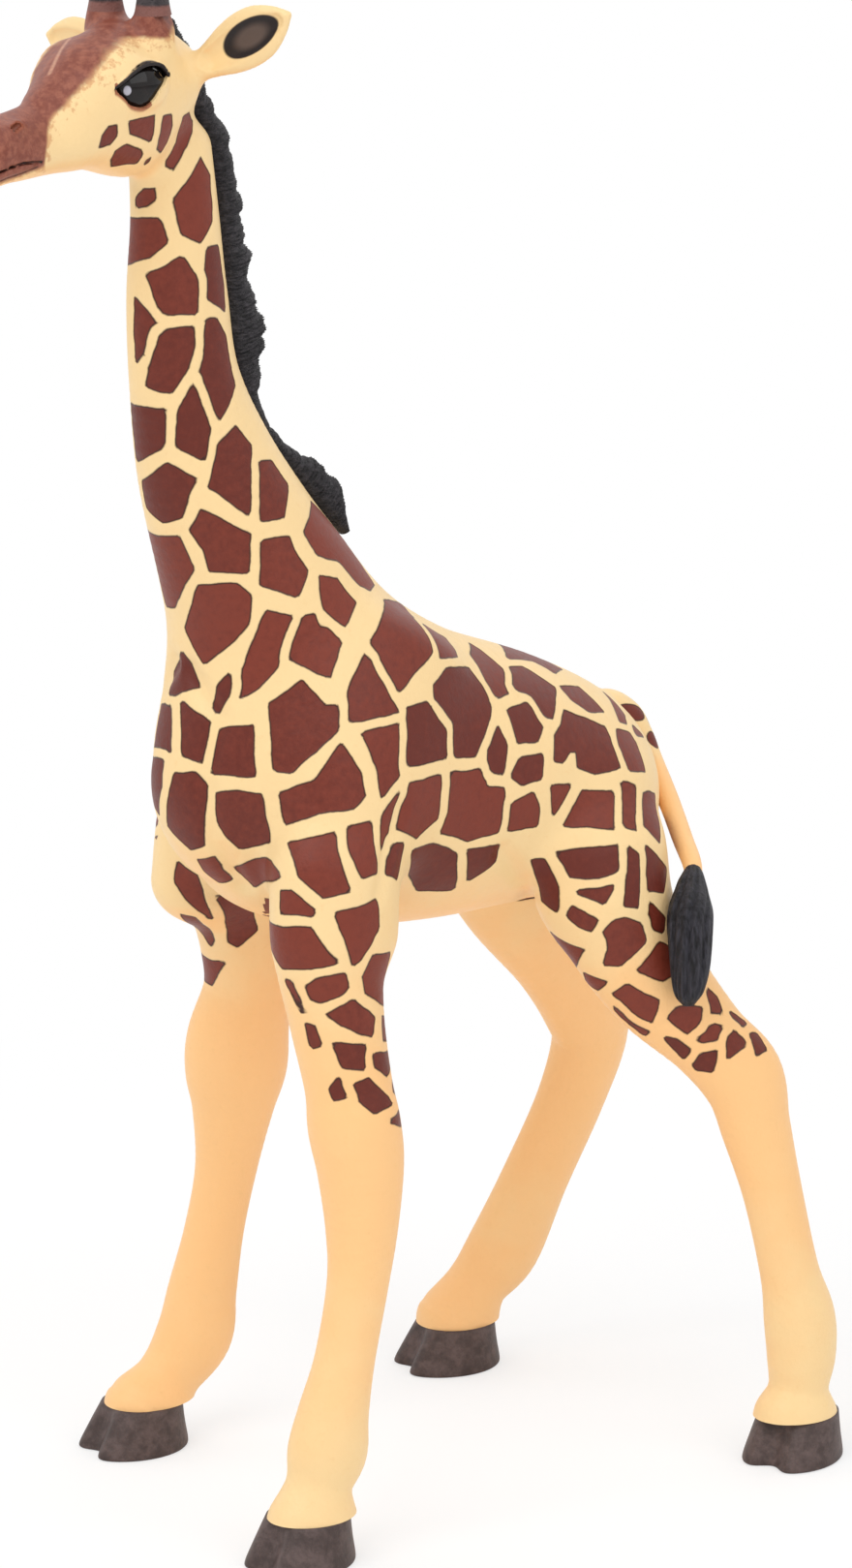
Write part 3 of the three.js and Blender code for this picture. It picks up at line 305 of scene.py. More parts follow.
# Tail: down its drop, of its reach, of its swing, of its width
TAIL_SHARES = [
    (0.24, -0.8, 0, 0.9), (0.08, -0.05, 0, 1.03), (0.16, 0.62, 0.01, 1),
    (0.32, 0.93, 0.06, 0.87), (0.47, 1, 0.16, 0.73), (0.68, 0.75, 0.45, 0.63),
    (0.88, 0.37, 0.75, 0.6), (1, 0.03, 0.98, 0.55), (1.13, -0.24, 1.09, 0.42),
]

# Tuft: down its length, of its lead, of its swing, of its width
TUFT_SHARES = [
    (0, 0, 0, 0.3), (0.06, 0.12, 0.13, 0.5), (0.15, 0.31, 0.32, 0.71), (0.33, 0.66, 0.7, 1),
    (0.66, 0.84, 0.93, 0.9), (0.89, 0.94, 1, 0.66), (1, 0.95, 1.02, 0.26),
]

# Ear: along its length, of its width, of its thickness
EAR_SHARES = [
    (-0.12, 0.5, 1.1), (0.08, 0.52, 1.1), (0.22, 0.66, 1), (0.38, 0.88, 1), (0.56, 1, 0.95),
    (0.74, 0.92, 0.85), (0.9, 0.56, 0.7), (1, 0.16, 0.5),
]

# Ossicone: of its width, up its length
OSSICONE_SHARES = [
    (1.3, -0.2), (1.25, 0.1), (1.02, 0.35), (0.9, 0.55), (0.96, 0.76),
]

# Hoof: up its height, of its length, of its width, moved back in its lengths, of its cleft
HOOF_SHARES = [
    (0, 0.97, 0.97, 0, 1), (0.1, 1, 1, 0, 1), (0.55, 0.86, 0.92, 0.04, 0.8),
    (1, 0.72, 0.84, 0.09, 0.4),
]

# The mane's path: up the neck's rise, along its lean, back from its axis in half depths
MANE_PATH_SHARES = [
    (0.3, 0.52, 1.12), (0.43, 0.73, 0.84), (0.52, 0.83, 0.6), (0.63, 0.92, 0.53),
    (0.75, 0.96, 0.52), (0.87, 0.97, 0.48), (1, 1, 0.42),
]

# The same on the head: behind its origin in skull lengths, above it in skull depths
CROWN_PATH_SHARES = [
    (0.89, -0.03), (0.65, 0.37),
]

# Middle of a cut along the neck's lean and up its rise
NECK_CUT_SHARES = (0.24, 0.19)
HEAD_CUT_SHARES = (1.02, 0.97)

# Extra softness, where a small form runs into the head or the rump
EAR_BLEND = 1.2
OSSICONE_BLEND = 0.9
TAIL_BLEND = 1
LID_BLEND = 0.5
CUT_BLEND = 0.16  # round the edge of a carved line or opening

# Grid on which a form is turned into a mesh
TRUNK_CELL = 0.38
LEG_CELL = 0.36
HEAD_CELL = 0.24
EAR_CELL = 0.2
OVERRUN = 1.5  # how far a grid form passes the plane that cuts it
SEAM = 0.002  # hairline between two pieces
TINY = SEAM / 1000  # least length that a direction is worked out from
FAR = 1000.0  # distance given to points that a member doesn't reach
BLEND_REACH_SHARE = 1.4  # of the softness, as far as a member is felt
STATION_STEPS = 8  # between two rows of a member


def smooth_rows(rows, steps):
    """Catmull-Rom rows through the given rows, with that many steps between two of them."""
    rows = np.array(rows, float)
    ends = np.vstack([2 * rows[0] - rows[1], rows, 2 * rows[-1] - rows[-2]])
    out = []
    for i in range(1, len(ends) - 2):
        p0, p1, p2, p3 = ends[i - 1:i + 3]
        for step in range(steps):
            t = step / steps
            bend = (2 * p0 - 5 * p1 + 4 * p2 - p3) * t * t + (3 * p1 - p0 - 3 * p2 + p3) * t ** 3
            out.append((2 * p1 + (p2 - p0) * t + bend) / 2)
    out.append(rows[-1])
    return np.array(out)


def unit(vectors):
    """The same directions with length 1."""
    return vectors / np.maximum(np.linalg.norm(vectors, axis=1), TINY)[:, None]


class Member:
    """A run of tapered elliptical segments. Rows are x, y, z, half width and half depth."""

    def __init__(self, rows, softness, side=(1, 0, 0)):
        rows = smooth_rows(rows, STATION_STEPS)
        self.start = rows[:-1, :3]
        step = rows[1:, :3] - self.start
        self.length = np.linalg.norm(step, axis=1)
        self.along = step / self.length[:, None]
        side = np.array(side, float)
        self.across = unit(side - self.along * (self.along @ side)[:, None])
        self.through = np.cross(self.along, self.across)
        self.wide = rows[:, 3]
        self.deep = rows[:, 4]
        size = (np.maximum(self.wide, self.deep) + softness * BLEND_REACH_SHARE)[:, None]
        self.low = np.minimum(rows[:-1, :3] - size[:-1], rows[1:, :3] - size[1:])
        self.high = np.maximum(rows[:-1, :3] + size[:-1], rows[1:, :3] + size[1:])

    def distance(self, points):
        """Distance to the member's surface, negative inside."""
        best = np.full(len(points), FAR)
        near = within(points, self.low.min(0), self.high.max(0))
        inside = points[near]
        found = best[near]
        for i, length in enumerate(self.length):
            pick = within(inside, self.low[i], self.high[i])
            if len(pick) == 0:
                continue
            apart = inside[pick] - self.start[i]
            t = apart @ self.along[i]
            share = np.clip(t / length, 0, 1)
            wide = self.wide[i] + (self.wide[i + 1] - self.wide[i]) * share
            deep = self.deep[i] + (self.deep[i + 1] - self.deep[i]) * share
            small = np.minimum(wide, deep)
            reach = np.sqrt(
                (apart @ self.across[i] / wide) ** 2
                + (apart @ self.through[i] / deep) ** 2
                + ((t - share * length) / small) ** 2
            )
            found[pick] = np.minimum(found[pick], (reach - 1) * small)
        best[near] = found
        return best


def within(points, low, high):
    """Indices of the points inside a box."""
    return np.flatnonzero(((points > low) & (points < high)).all(axis=1))


def blend(a, b, softness):
    """Smooth union of two distances."""
    h = np.clip(0.5 + (b - a) / softness / 2, 0, 1)
    return b + (a - b) * h - softness * h * (1 - h)


def carve(a, cut, softness):
    """What is left of a when the form whose distance is cut is taken away."""
    return -blend(-a, cut, softness)


def turn_z(degrees):
    """Rotation about Z as a 3 x 3 array."""
    return np.array(Matrix.Rotation(degrees * DEGREE, 3, "Z"))


def turn_y(degrees):
    """Rotation about Y as a 3 x 3 array."""
    return np.array(Matrix.Rotation(degrees * DEGREE, 3, "Y"))


# Trunk, neck and the tail's root, which the tail's own tube covers
TAIL_STUB_SHARE = 0.93  # of the tail's width
trunk = Member([
    (0, TRUNK_FRONT + TRUNK_LENGTH * along, RUMP_HEIGHT + TRUNK_RISE * up,
     TRUNK_WIDTH / 2 * wide, TRUNK_DEPTH / 2 * deep)
    for along, up, wide, deep in TRUNK_SHARES
], NECK_BLEND)
neck = Member([
    (0, NECK_BASE_Y - NECK_LEAN * lean, NECK_BASE_HEIGHT + NECK_RISE * up,
     NECK_WIDTH / 2 * wide, NECK_DEPTH / 2 * deep)
    for up, lean, wide, deep in NECK_SHARES
], NECK_BLEND)
tail_stub = Member([
    (TAIL_SWING * swing, TAIL_ROOT_Y + TAIL_REACH * back, TAIL_ROOT_HEIGHT - TAIL_DROP * down,
     TAIL_WIDTH / 2 * wide * TAIL_STUB_SHARE, TAIL_WIDTH / 2 * wide * TAIL_STUB_SHARE)
    for down, back, swing, wide in TAIL_SHARES[:2]
], TAIL_BLEND)


class Leg:
    """One leg's members, cut and foot."""

    def __init__(self, side, hind, spread, sweep, lead, turn, shares):
        spacing = HIP_SPACING if hind else SHOULDER_SPACING
        width = HIND_LEG_WIDTH if hind else FORE_LEG_WIDTH
        depth = HIND_LEG_DEPTH if hind else FORE_LEG_DEPTH
        height = HIP_HEIGHT if hind else SHOULDER_HEIGHT
        y = HIP_Y if hind else SHOULDER_Y
        self.turn = turn
        self.top_blend = HAUNCH_BLEND if hind else SHOULDER_BLEND
        self.member = Member([
            (side * (spacing / 2 + spread * out), y + sweep * back, height * up,
             width / 2 * wide, depth / 2 * deep)
            for up, out, back, wide, deep in shares
        ], LEG_BLEND)
        self.top = Member([
            (side * spacing / 2 * (1 + out), y + depth * back, height * (1 + up),
             width / 2 * wide, depth / 2 * deep)
            for out, back, up, wide, deep in (HAUNCH_SHARES if hind else FORE_BLADE_SHARES)
        ], self.top_blend)
        foot_x = side * (spacing / 2 + spread * shares[-1][1])
        foot_y = y + sweep * shares[-1][2]
        self.foot = (foot_x, foot_y - lead)
        outer = spacing * 2
        slope = LEG_SLOPE * DEGREE
        front_room = HIND_LEG_ROOM if hind else TRUNK_LENGTH
        back_room = TRUNK_LENGTH if hind else FORE_LEG_ROOM
        self.cut = Cut(
            (side * spacing / 2, y, HIND_PARTING_HEIGHT if hind else FORE_PARTING_HEIGHT),
            (side * math.sin(slope), 0, -math.cos(slope)),
            (0 if side > 0 else -outer, y - front_room, -OVERRUN),
            (outer if side > 0 else 0, y + back_room, height + depth),
        )
        front = y + min(sweep, 0) - depth
        back = y + max(sweep, 0) + depth
        self.low = (min(foot_x, 0) - width, front, HOOF_HEIGHT - OVERRUN)
        self.high = (max(foot_x, 0) + width, back, height + depth)


class Cut:
    """A plane that parts a limb from the body, and the room that the limb takes beyond it."""

    def __init__(self, middle, normal, low, high):
        self.middle = np.array(middle, float)
        self.normal = np.array(normal, float) / np.linalg.norm(normal)
        self.low = np.array(low, float)
        self.high = np.array(high, float)

    def distance(self, points, setback):
        """Distance to the limb's space, negative inside."""
        beyond = setback - (points - self.middle) @ self.normal
        walls = np.maximum(self.low - points, points - self.high).max(axis=1)
        return np.maximum(beyond, walls)


legs = {
    "left_front": Leg(1, False, LEFT_FORE_SPREAD, LEFT_FORE_SWEEP, LEFT_FORE_LEAD,
                      LEFT_FORE_TURN, LEFT_FORE_SHARES),
    "right_front": Leg(-1, False, RIGHT_FORE_SPREAD, RIGHT_FORE_SWEEP, RIGHT_FORE_LEAD,
                       RIGHT_FORE_TURN, RIGHT_FORE_SHARES),
    "left_hind": Leg(1, True, LEFT_HIND_SPREAD, LEFT_HIND_SWEEP, LEFT_HIND_LEAD,
                     LEFT_HIND_TURN, LEFT_HIND_SHARES),
    "right_hind": Leg(-1, True, RIGHT_HIND_SPREAD, RIGHT_HIND_SWEEP, RIGHT_HIND_LEAD,
                      RIGHT_HIND_TURN, RIGHT_HIND_SHARES),
}

# Head, in its own frame: x to the calf's left, y back, z up
HEAD = np.array([HEAD_SHIFT, HEAD_Y, HEAD_HEIGHT])
head_turn = turn_z(HEAD_TURN)


def to_head(points):
    """Body coordinates to the head's own."""
    return (points - HEAD) @ head_turn


def from_head(points):
    """The head's own coordinates to the body's."""
    return np.asarray(points, float) @ head_turn.T + HEAD


skull = Member([
    (0, -SKULL_LENGTH * along, SKULL_DEPTH * up, SKULL_WIDTH / 2 * wide, SKULL_DEPTH / 2 * deep)
    for along, up, wide, deep in SKULL_SHARES
], HEAD_BLEND)
nose = Member([
    (0, -MUZZLE_LENGTH * along, MUZZLE_DEPTH * up, MUZZLE_WIDTH / 2 * wide,
     MUZZLE_DEPTH / 2 * deep)
    for along, up, wide, deep in NOSE_SHARES
], HEAD_BLEND)
jaw = Member([
    (0, JAW_LENGTH * (1 - along) - MUZZLE_LENGTH, JAW_DEPTH * up, JAW_WIDTH / 2 * wide,
     JAW_DEPTH / 2 * deep)
    for along, up, wide, deep in JAW_SHARES
], HEAD_BLEND)
brow = Member([
    (EYE_SPACING * out, -SKULL_LENGTH * along, SKULL_DEPTH * up, BROW_WIDTH / 2 * round_share,
     BROW_WIDTH / 2 * round_share)
    for along, out, up, round_share in BROW_SHARES
], FACE_BLEND)
ossicone = Member([
    (OSSICONE_SPACING / 2, OSSICONE_BACK, OSSICONE_ROOT + OSSICONE_LENGTH * up,
     OSSICONE_WIDTH / 2 * wide, OSSICONE_WIDTH / 2 * wide)
    for wide, up in OSSICONE_SHARES
], OSSICONE_BLEND)

# Ear blade along its own x, thin in y, and the cup that is hollowed out of its front
ear_blade = Member([
    (EAR_LENGTH * along, 0, 0, EAR_WIDTH / 2 * wide, EAR_THICKNESS / 2 * thick)
    for along, wide, thick in EAR_SHARES
], EAR_BLEND, side=(0, 0, 1))
EAR_RIM_SHARE = 0.72  # of the blade's half width, out to the cup's edge
EAR_PAINT_SHARE = 0.6  # of the same, out to the edge of the dark paint
EAR_CUP_RADIUS = 1.1
EAR_CUP_LIFT = EAR_THICKNESS / 2 + EAR_CUP_RADIUS - EAR_HOLLOW  # in front of the blade's middle
ear_hollow = Member([
    (EAR_LENGTH * along, -EAR_CUP_LIFT, 0, EAR_WIDTH / 2 * wide * EAR_RIM_SHARE, EAR_CUP_RADIUS)
    for along, wide, _ in EAR_SHARES[2:-1]
], EAR_BLEND, side=(0, 0, 1))
SIDES = {"left": 1, "right": -1}
EAR_LIFTS = {"left": LEFT_EAR_LIFT, "right": RIGHT_EAR_LIFT}


def to_ear(local, side_name):
    """Head coordinates to those of one ear: x along the blade, y back, z across."""
    mirrored = local * (SIDES[side_name], 1, 1)
    root = np.array([EAR_SPACING / 2, EAR_BACK, 0])
    return (mirrored - root) @ turn_z(EAR_SWEEP) @ turn_y(-EAR_LIFTS[side_name])


# Eyes: where the ball sits, and the outline of the opening between the lids, in the eye's own
# coordinates forward and up as shares of the eye's length and height
LID = 0.35  # thickness of a lid over the ball
UPPER_LID_SHARES = [
    (-0.48, 0.18), (-0.37, 0.37), (-0.15, 0.45), (0.05, 0.43), (0.25, 0.31), (0.44, 0.12),
    (0.56, -0.01),
]
LOWER_LID_SHARES = [
    (-0.48, 0.18), (-0.38, 0.07), (-0.24, -0.08), (-0.12, -0.28), (0.02, -0.41), (0.25, -0.35),
    (0.39, -0.18), (0.5, -0.06), (0.56, -0.01),
]
LASH_WIDTH = 0.32
LASH_RADIUS = 0.18
LASH_STAND = 0.16  # how far the lash's middle stands out of the lid
LASH_ROOM = EYE_LENGTH * 0.8  # round the eye's middle, where the lash is felt
RIM_WIDTH = 0.5


def lid_line(shares):
    """Heights of a lid's edge at even steps from the back corner to the front one."""
    line = smooth_rows([(EYE_LENGTH * a, EYE_HEIGHT * b) for a, b in shares], STATION_STEPS)
    return line[:, 0], line[:, 1]


upper_lid = lid_line(UPPER_LID_SHARES)
lower_lid = lid_line(LOWER_LID_SHARES)


def to_eye(local, side):
    """Head coordinates to those of one eye: outward, forward and up."""
    middle = np.array([side * EYE_SPACING / 2, EYE_BACK, -EYE_DROP])
    turned = (local - middle) @ turn_z(-side * EYE_TURN)
    return turned * (side, -1, 1)


def lid_opening(eye):
    """Distance to the outline between the lids, seen from outside, negative in the opening."""
    ahead, up = eye[:, 1], eye[:, 2]
    top = np.interp(ahead, *upper_lid)
    bottom = np.interp(ahead, *lower_lid)
    past = np.maximum(upper_lid[0][0] - ahead, ahead - upper_lid[0][-1])
    return np.maximum(np.maximum(up - top, bottom - up), past)


def lash_line():
    """The upper lid's edge as a line in space, in the eye's own coordinates."""
    ahead, up = upper_lid[0][::3], upper_lid[1][::3]
    flat = (ahead / (EYE_LENGTH / 2 + LID)) ** 2 + (up / (EYE_HEIGHT / 2 + LID)) ** 2
    out = (EYE_DEPTH / 2 + LID) * np.sqrt(np.maximum(1 - flat, 0))
    return np.stack([out + LASH_STAND, ahead, up + LASH_RADIUS / 2], axis=1)


# Mouth and nostrils, in the head's own coordinates. The lines run forward from the mouth's
# corner: how far ahead and how high.
MOUTH_LINE = [(8.4, -5.5), (9.5, -5.42), (10.6, -5.37), (11.8, -5.55), (12.6, -5.8), (15, -6.5)]
LIP_LINE = [(8.3, -5.75), (9.7, -6.12), (10.6, -6.35), (11.6, -6.5), (12.6, -6.75), (15, -7.3)]
MOUTH_CORNER = MOUTH_LINE[0][0]
MOUTH_WIDTH = 0.1
MOUTH_DEPTH = 0.3
MOUTH_TAPER = 0.9  # over which the line thins out at its corner
LIP_DEPTH = 0.14
LIP_WIDTH = 0.22
NOSTRIL = (1.95, -10.75, -2.5)
NOSTRIL_RUN = (0.1, -0.45, -0.12)  # from its middle to one end
NOSTRIL_RADIUS = 0.24
NOSTRIL_RIM = 0.6
NOSTRIL_SWELL = 0.28
CHIN = (0, -12.4, -6.1)
CHIN_SIZE = (1.6, 2, 1.25)
CHIN_BLEND = 0.8


def from_segment(points, a, b):
    """Offsets of points from the nearest place on a segment, and their lengths."""
    along = b - a
    t = np.clip((points - a) @ along / (along @ along), 0, 1)
    off = points - a - t[:, None] * along
    return off, np.linalg.norm(off, axis=1)


def line_distance(points, line):
    """Distance from points to a polyline."""
    line = np.asarray(line, float)
    best = np.full(len(points), FAR)
    for a, b in zip(line[:-1], line[1:]):
        best = np.minimum(best, from_segment(points, a, b)[1])
    return best


lash_edge = lash_line()


def nostril_distance(local):
    """Distance to the nearer nostril's middle line."""
    mirrored = np.abs(local) * (1, 0, 0) + local * (0, 1, 1)
    middle, run = np.array(NOSTRIL), np.array(NOSTRIL_RUN)
    return line_distance(mirrored, [middle - run, middle + run])


def line_height(ahead, line):
    """Height of a line of the mouth for a place ahead of the head's origin."""
    return np.interp(ahead, *np.array(line).T)


def with_eye(d, local, side):
    """The head's distance with one eye's lids, their opening and the lash."""
    eye = to_eye(local, side)
    semi = np.array([EYE_DEPTH, EYE_LENGTH, EYE_HEIGHT]) / 2 + LID
    ball = (np.linalg.norm(eye / semi, axis=1) - 1) * semi[0]
    d = blend(d, ball, LID_BLEND)
    opening = np.maximum(lid_opening(eye), -eye[:, 0])
    d = carve(d, opening, CUT_BLEND)
    by_eye = np.flatnonzero(np.linalg.norm(eye, axis=1) < LASH_ROOM)
    lash = line_distance(eye[by_eye], lash_edge) - LASH_RADIUS
    d[by_eye] = blend(d[by_eye], lash, CUT_BLEND)
    return d


def with_nostrils(d, local):
    """The head's distance with the nostrils in their swellings."""
    slit = nostril_distance(local)
    d = d - NOSTRIL_SWELL * np.exp(-((slit / NOSTRIL_RIM) ** 2))
    return carve(d, slit - NOSTRIL_RADIUS, CUT_BLEND)


def with_mouth(d, local):
    """The head's distance with the mouth's groove and the crease of the lower lip."""
    ahead = -local[:, 1]
    width = MOUTH_WIDTH * np.clip((ahead - MOUTH_CORNER) / MOUTH_TAPER, -1, 1)
    above_mouth = local[:, 2] - line_height(ahead, MOUTH_LINE)
    groove = np.maximum(np.abs(above_mouth) - width, -(d + MOUTH_DEPTH))
    d = carve(d, groove, CUT_BLEND)
    above_lip = local[:, 2] - line_height(ahead, LIP_LINE)
    crease = np.exp(-((above_lip / LIP_WIDTH) ** 2)) * np.clip(ahead - MOUTH_CORNER, 0, 1)
    return d + LIP_DEPTH * crease


def head_form(points):
    """Distance to the head with ears and ossicones, in body coordinates, negative inside."""
    out = np.full(len(points), FAR)
    room = SKULL_LENGTH * 2
    near = within(points, HEAD - room, HEAD + room)
    if len(near) == 0:
        return out
    local = to_head(points[near])
    d = skull.distance(local)
    d = blend(d, jaw.distance(local), FACE_BLEND)
    d = blend(d, nose.distance(local), FACE_BLEND)
    for side in SIDES.values():
        mirrored = local * (side, 1, 1)
        d = blend(d, brow.distance(mirrored), FACE_BLEND)
        d = blend(d, ossicone.distance(mirrored), OSSICONE_BLEND)
        d = with_eye(d, local, side)
    off = np.linalg.norm((local - CHIN) / CHIN_SIZE, axis=1)
    d = blend(d, (off - 1) * min(CHIN_SIZE), CHIN_BLEND)
    d = with_mouth(with_nostrils(d, local), local)
    for name in SIDES:
        ear = to_ear(local, name)
        d = blend(d, ear_blade.distance(ear), EAR_BLEND)
        d = carve(d, ear_hollow.distance(ear), CUT_BLEND)
    out[near] = d
    return out


def base_form(points):
    """Distance to the whole body's surface without its fine marks, negative inside."""
    d = trunk.distance(points)
    d = blend(d, neck.distance(points), NECK_BLEND)
    for leg in legs.values():
        d = blend(d, leg.top.distance(points), leg.top_blend)
        d = blend(d, leg.member.distance(points), LEG_BLEND)
    d = blend(d, tail_stub.distance(points), TAIL_BLEND)
    return blend(d, head_form(points), HEAD_BLEND)


# Photograph's camera, solved from the figure, and its frame in pixels
CAMERA = np.array([439.06, -307.26, 195.0])
CAMERA_TARGET = np.array([13.1, -9.0, 65.0])
PHOTO_WIDTH_PX = 880
PHOTO_HEIGHT_PX = 1619
FOCAL_PX = 6619
MARCH_SHARE = 0.7  # of the distance, at each step along a line of sight
MARCH_LIMITS = (-1, 2)  # millimetres back and ahead that a step can be worked out from
MARCH_STEPS = 140
SURFACE_TOLERANCE = 0.02
SIGHT_RANGE = np.linalg.norm(CAMERA_TARGET - CAMERA)
SIGHT_AHEAD = (CAMERA_TARGET - CAMERA) / SIGHT_RANGE
SIGHT_RIGHT = np.cross(SIGHT_AHEAD, (0, 0, 1)) / np.linalg.norm(SIGHT_AHEAD[:2])
SIGHT_UP = np.cross(SIGHT_RIGHT, SIGHT_AHEAD)


def sight(pixels):
    """Unit directions of the lines of sight through photograph pixels."""
    pixels = np.asarray(pixels, float)
    across = (pixels[:, :1] - PHOTO_WIDTH_PX / 2) / FOCAL_PX
    down = (pixels[:, 1:] - PHOTO_HEIGHT_PX / 2) / FOCAL_PX
    return unit(SIGHT_AHEAD + across * SIGHT_RIGHT - down * SIGHT_UP)


def in_pixels(points):
    """Photograph pixels of points in space."""
    away = points - CAMERA
    depth = away @ SIGHT_AHEAD
    return np.stack([
        PHOTO_WIDTH_PX / 2 + FOCAL_PX * (away @ SIGHT_RIGHT) / depth,
        PHOTO_HEIGHT_PX / 2 - FOCAL_PX * (away @ SIGHT_UP) / depth,
    ], axis=1)


def toward_camera(points, normals):
    """How far surfaces face the camera at the points: 1 is squarely, below 0 is away from it."""
    return -(normals * unit(points - CAMERA)).sum(axis=1)


def cast(pixels):
    """Points under photograph pixels, and which of them are on the body's surface."""
    ways = sight(pixels)
    run = np.full(len(ways), SIGHT_RANGE - TRUNK_LENGTH * 2)
    for _ in range(MARCH_STEPS):
        d = base_form(CAMERA + ways * run[:, None])
        run = run + np.clip(d, *MARCH_LIMITS) * MARCH_SHARE
    points = CAMERA + ways * run[:, None]
    return points, np.abs(base_form(points)) < SURFACE_TOLERANCE


def on_body(pixels):
    """Points of the body's surface under photograph pixels. A pixel that misses it is left out."""
    points, hit = cast(pixels)
    return points[hit]


# Folds of the moulding, as photograph pixels, each with its width and depth
FOLDS_PX = [
    ([(195, 690), (225, 740), (213, 800), (222, 870), (250, 915)], 0.9, 0.5),
    ([(520, 880), (545, 920), (560, 960)], 0.9, 0.4),
    ([(415, 835), (400, 880), (392, 925)], 0.8, 0.45),
]
FOLD_REACH = 3  # widths, as far as a fold is felt


class Fold:
    """A soft crease along a line that lies on the body, on both sides of it."""

    def __init__(self, pixels, width, depth):
        self.line = on_body(pixels)
        self.width = width
        self.depth = depth
        self.low = self.line.min(axis=0) - width * FOLD_REACH
        self.high = self.line.max(axis=0) + width * FOLD_REACH

    def sink(self, points):
        """How far the surface is pressed in at each point."""
        out = np.zeros(len(points))
        mirrored = np.column_stack([np.abs(points[:, 0]), points[:, 1:]])
        near = within(mirrored, self.low, self.high)
        away = line_distance(mirrored[near], self.line)
        out[near] = self.depth * np.exp(-((away / self.width) ** 2))
        return out


folds = [Fold(*fold) for fold in FOLDS_PX]


def body_form(points):
    """Distance to the body's surface with its folds, negative inside."""
    d = base_form(points)
    for fold in folds:
        d = d + fold.sink(points)
    return d


# Turning a form into a mesh
PROBE_SHARE = 0.1  # of a cell, between the points where a slope is measured
MOVE_SHARE = 0.45  # of a cell, the most that one pass moves a vertex
LEAST_SLOPE = 0.2
PASSES = 2
BLOCK = 4  # cells on a side of the blocks that are passed over away from the surface
TETRAHEDRON = np.array([(1, 1, 1), (1, -1, -1), (-1, 1, -1), (-1, -1, 1)], float)


def slope(form, points, probe):
    """Gradient of a form at the points, from four samples round each."""
    out = np.zeros_like(points)
    for corner in TETRAHEDRON:
        out += form(points + corner * probe)[:, None] * corner
    return out / (4 * probe)


def grid_values(form, low, blocks, cell):
    """A form's values on a grid, where a block far from the surface has its middle's value."""
    starts = np.indices(blocks).reshape(3, -1).T * BLOCK
    middle = form(low + (starts + (BLOCK - 1) / 2) * cell)
    value = middle.reshape(blocks)
    for axis in range(3):
        value = np.repeat(value, BLOCK, axis=axis)
    starts = starts[np.abs(middle) < BLOCK * cell]
    steps = (starts[:, None] + np.indices((BLOCK,) * 3).reshape(3, -1).T).reshape(-1, 3)
    value[tuple(steps.T)] = form(low + steps * cell)
    rim = np.ones(value.shape, bool)
    rim[1:-1, 1:-1, 1:-1] = False
    value[rim] = np.abs(value[rim])
    return value


def crossings(value):
    """Which cells of a grid the surface crosses, and the middle of its crossings in each."""
    cells = tuple(np.array(value.shape) - 1)
    total = np.zeros(cells + (3,))
    crossed = np.zeros(cells)

    def corner(at):
        return value[tuple(slice(s, s + n) for s, n in zip(at, cells))]

    for axis in range(3):
        others = [k for k in range(3) if k != axis]
        for first in (0, 1):
            for second in (0, 1):
                start = [0, 0, 0]
                start[others[0]], start[others[1]] = first, second
                end = list(start)
                end[axis] = 1
                a, b = corner(start), corner(end)
                cross = (a < 0) != (b < 0)
                t = np.where(cross, a / np.where(a == b, 1, a - b), 0)
                spot = np.zeros(cells + (3,))
                spot[...] = start
                spot[..., axis] += t
                total += spot * cross[..., None]
                crossed += cross
    active = crossed > 0
    return active, np.argwhere(active) + total[active] / crossed[active][:, None]


def crossing_quads(inside, index):
    """Quads round the grid's edges that the surface crosses, of the numbers of their cells."""
    count = inside.shape
    faces = []
    for axis in range(3):
        b, c = (axis + 1) % 3, (axis + 2) % 3
        lower = [slice(None)] * 3
        upper = [slice(None)] * 3
        lower[axis], upper[axis] = slice(0, -1), slice(1, None)
        edge = np.argwhere(inside[tuple(lower)] != inside[tuple(upper)])
        edge = edge[(edge[:, b] > 0) & (edge[:, c] > 0)]
        edge = edge[(edge[:, b] < count[b] - 1) & (edge[:, c] < count[c] - 1)]
        ring = []
        for back_b, back_c in ((1, 1), (0, 1), (0, 0), (1, 0)):
            at = edge.copy()
            at[:, b] -= back_b
            at[:, c] -= back_c
            ring.append(index[tuple(at.T)])
        quads = np.stack(ring, axis=1)
        outward = inside[tuple(edge.T)]
        quads[~outward] = quads[~outward][:, ::-1]
        faces.append(quads)
    return np.vstack(faces)


def surface_nets(form, low, high, cell):
    """Closed quad mesh of a form's surface inside a box: vertices and faces."""
    low = np.array(low, float)
    blocks = np.ceil((np.array(high, float) - low) / cell / BLOCK).astype(int)
    value = grid_values(form, low, blocks, cell)
    active, middles = crossings(value)
    index = np.full(active.shape, -1)
    index[active] = np.arange(active.sum())
    return low + middles * cell, crossing_quads(value < 0, index)


def drawn_onto(form, vertices, cell):
    """Vertices moved along the slope of a form until they lie on its surface."""
    for _ in range(PASSES):
        d = form(vertices)
        way = slope(form, vertices, cell * PROBE_SHARE)
        steep = np.maximum((way ** 2).sum(axis=1), LEAST_SLOPE)
        move = np.clip(d / steep, -cell * MOVE_SHARE, cell * MOVE_SHARE)
        vertices = vertices - way * move[:, None]
    return vertices


# Cuts that part the body into its pieces
def neck_cut_middle(shares):
    """A point on the neck's axis, from shares of its lean and rise."""
    lean, up = shares
    return (0, NECK_BASE_Y - NECK_LEAN * lean, NECK_BASE_HEIGHT + NECK_RISE * up)


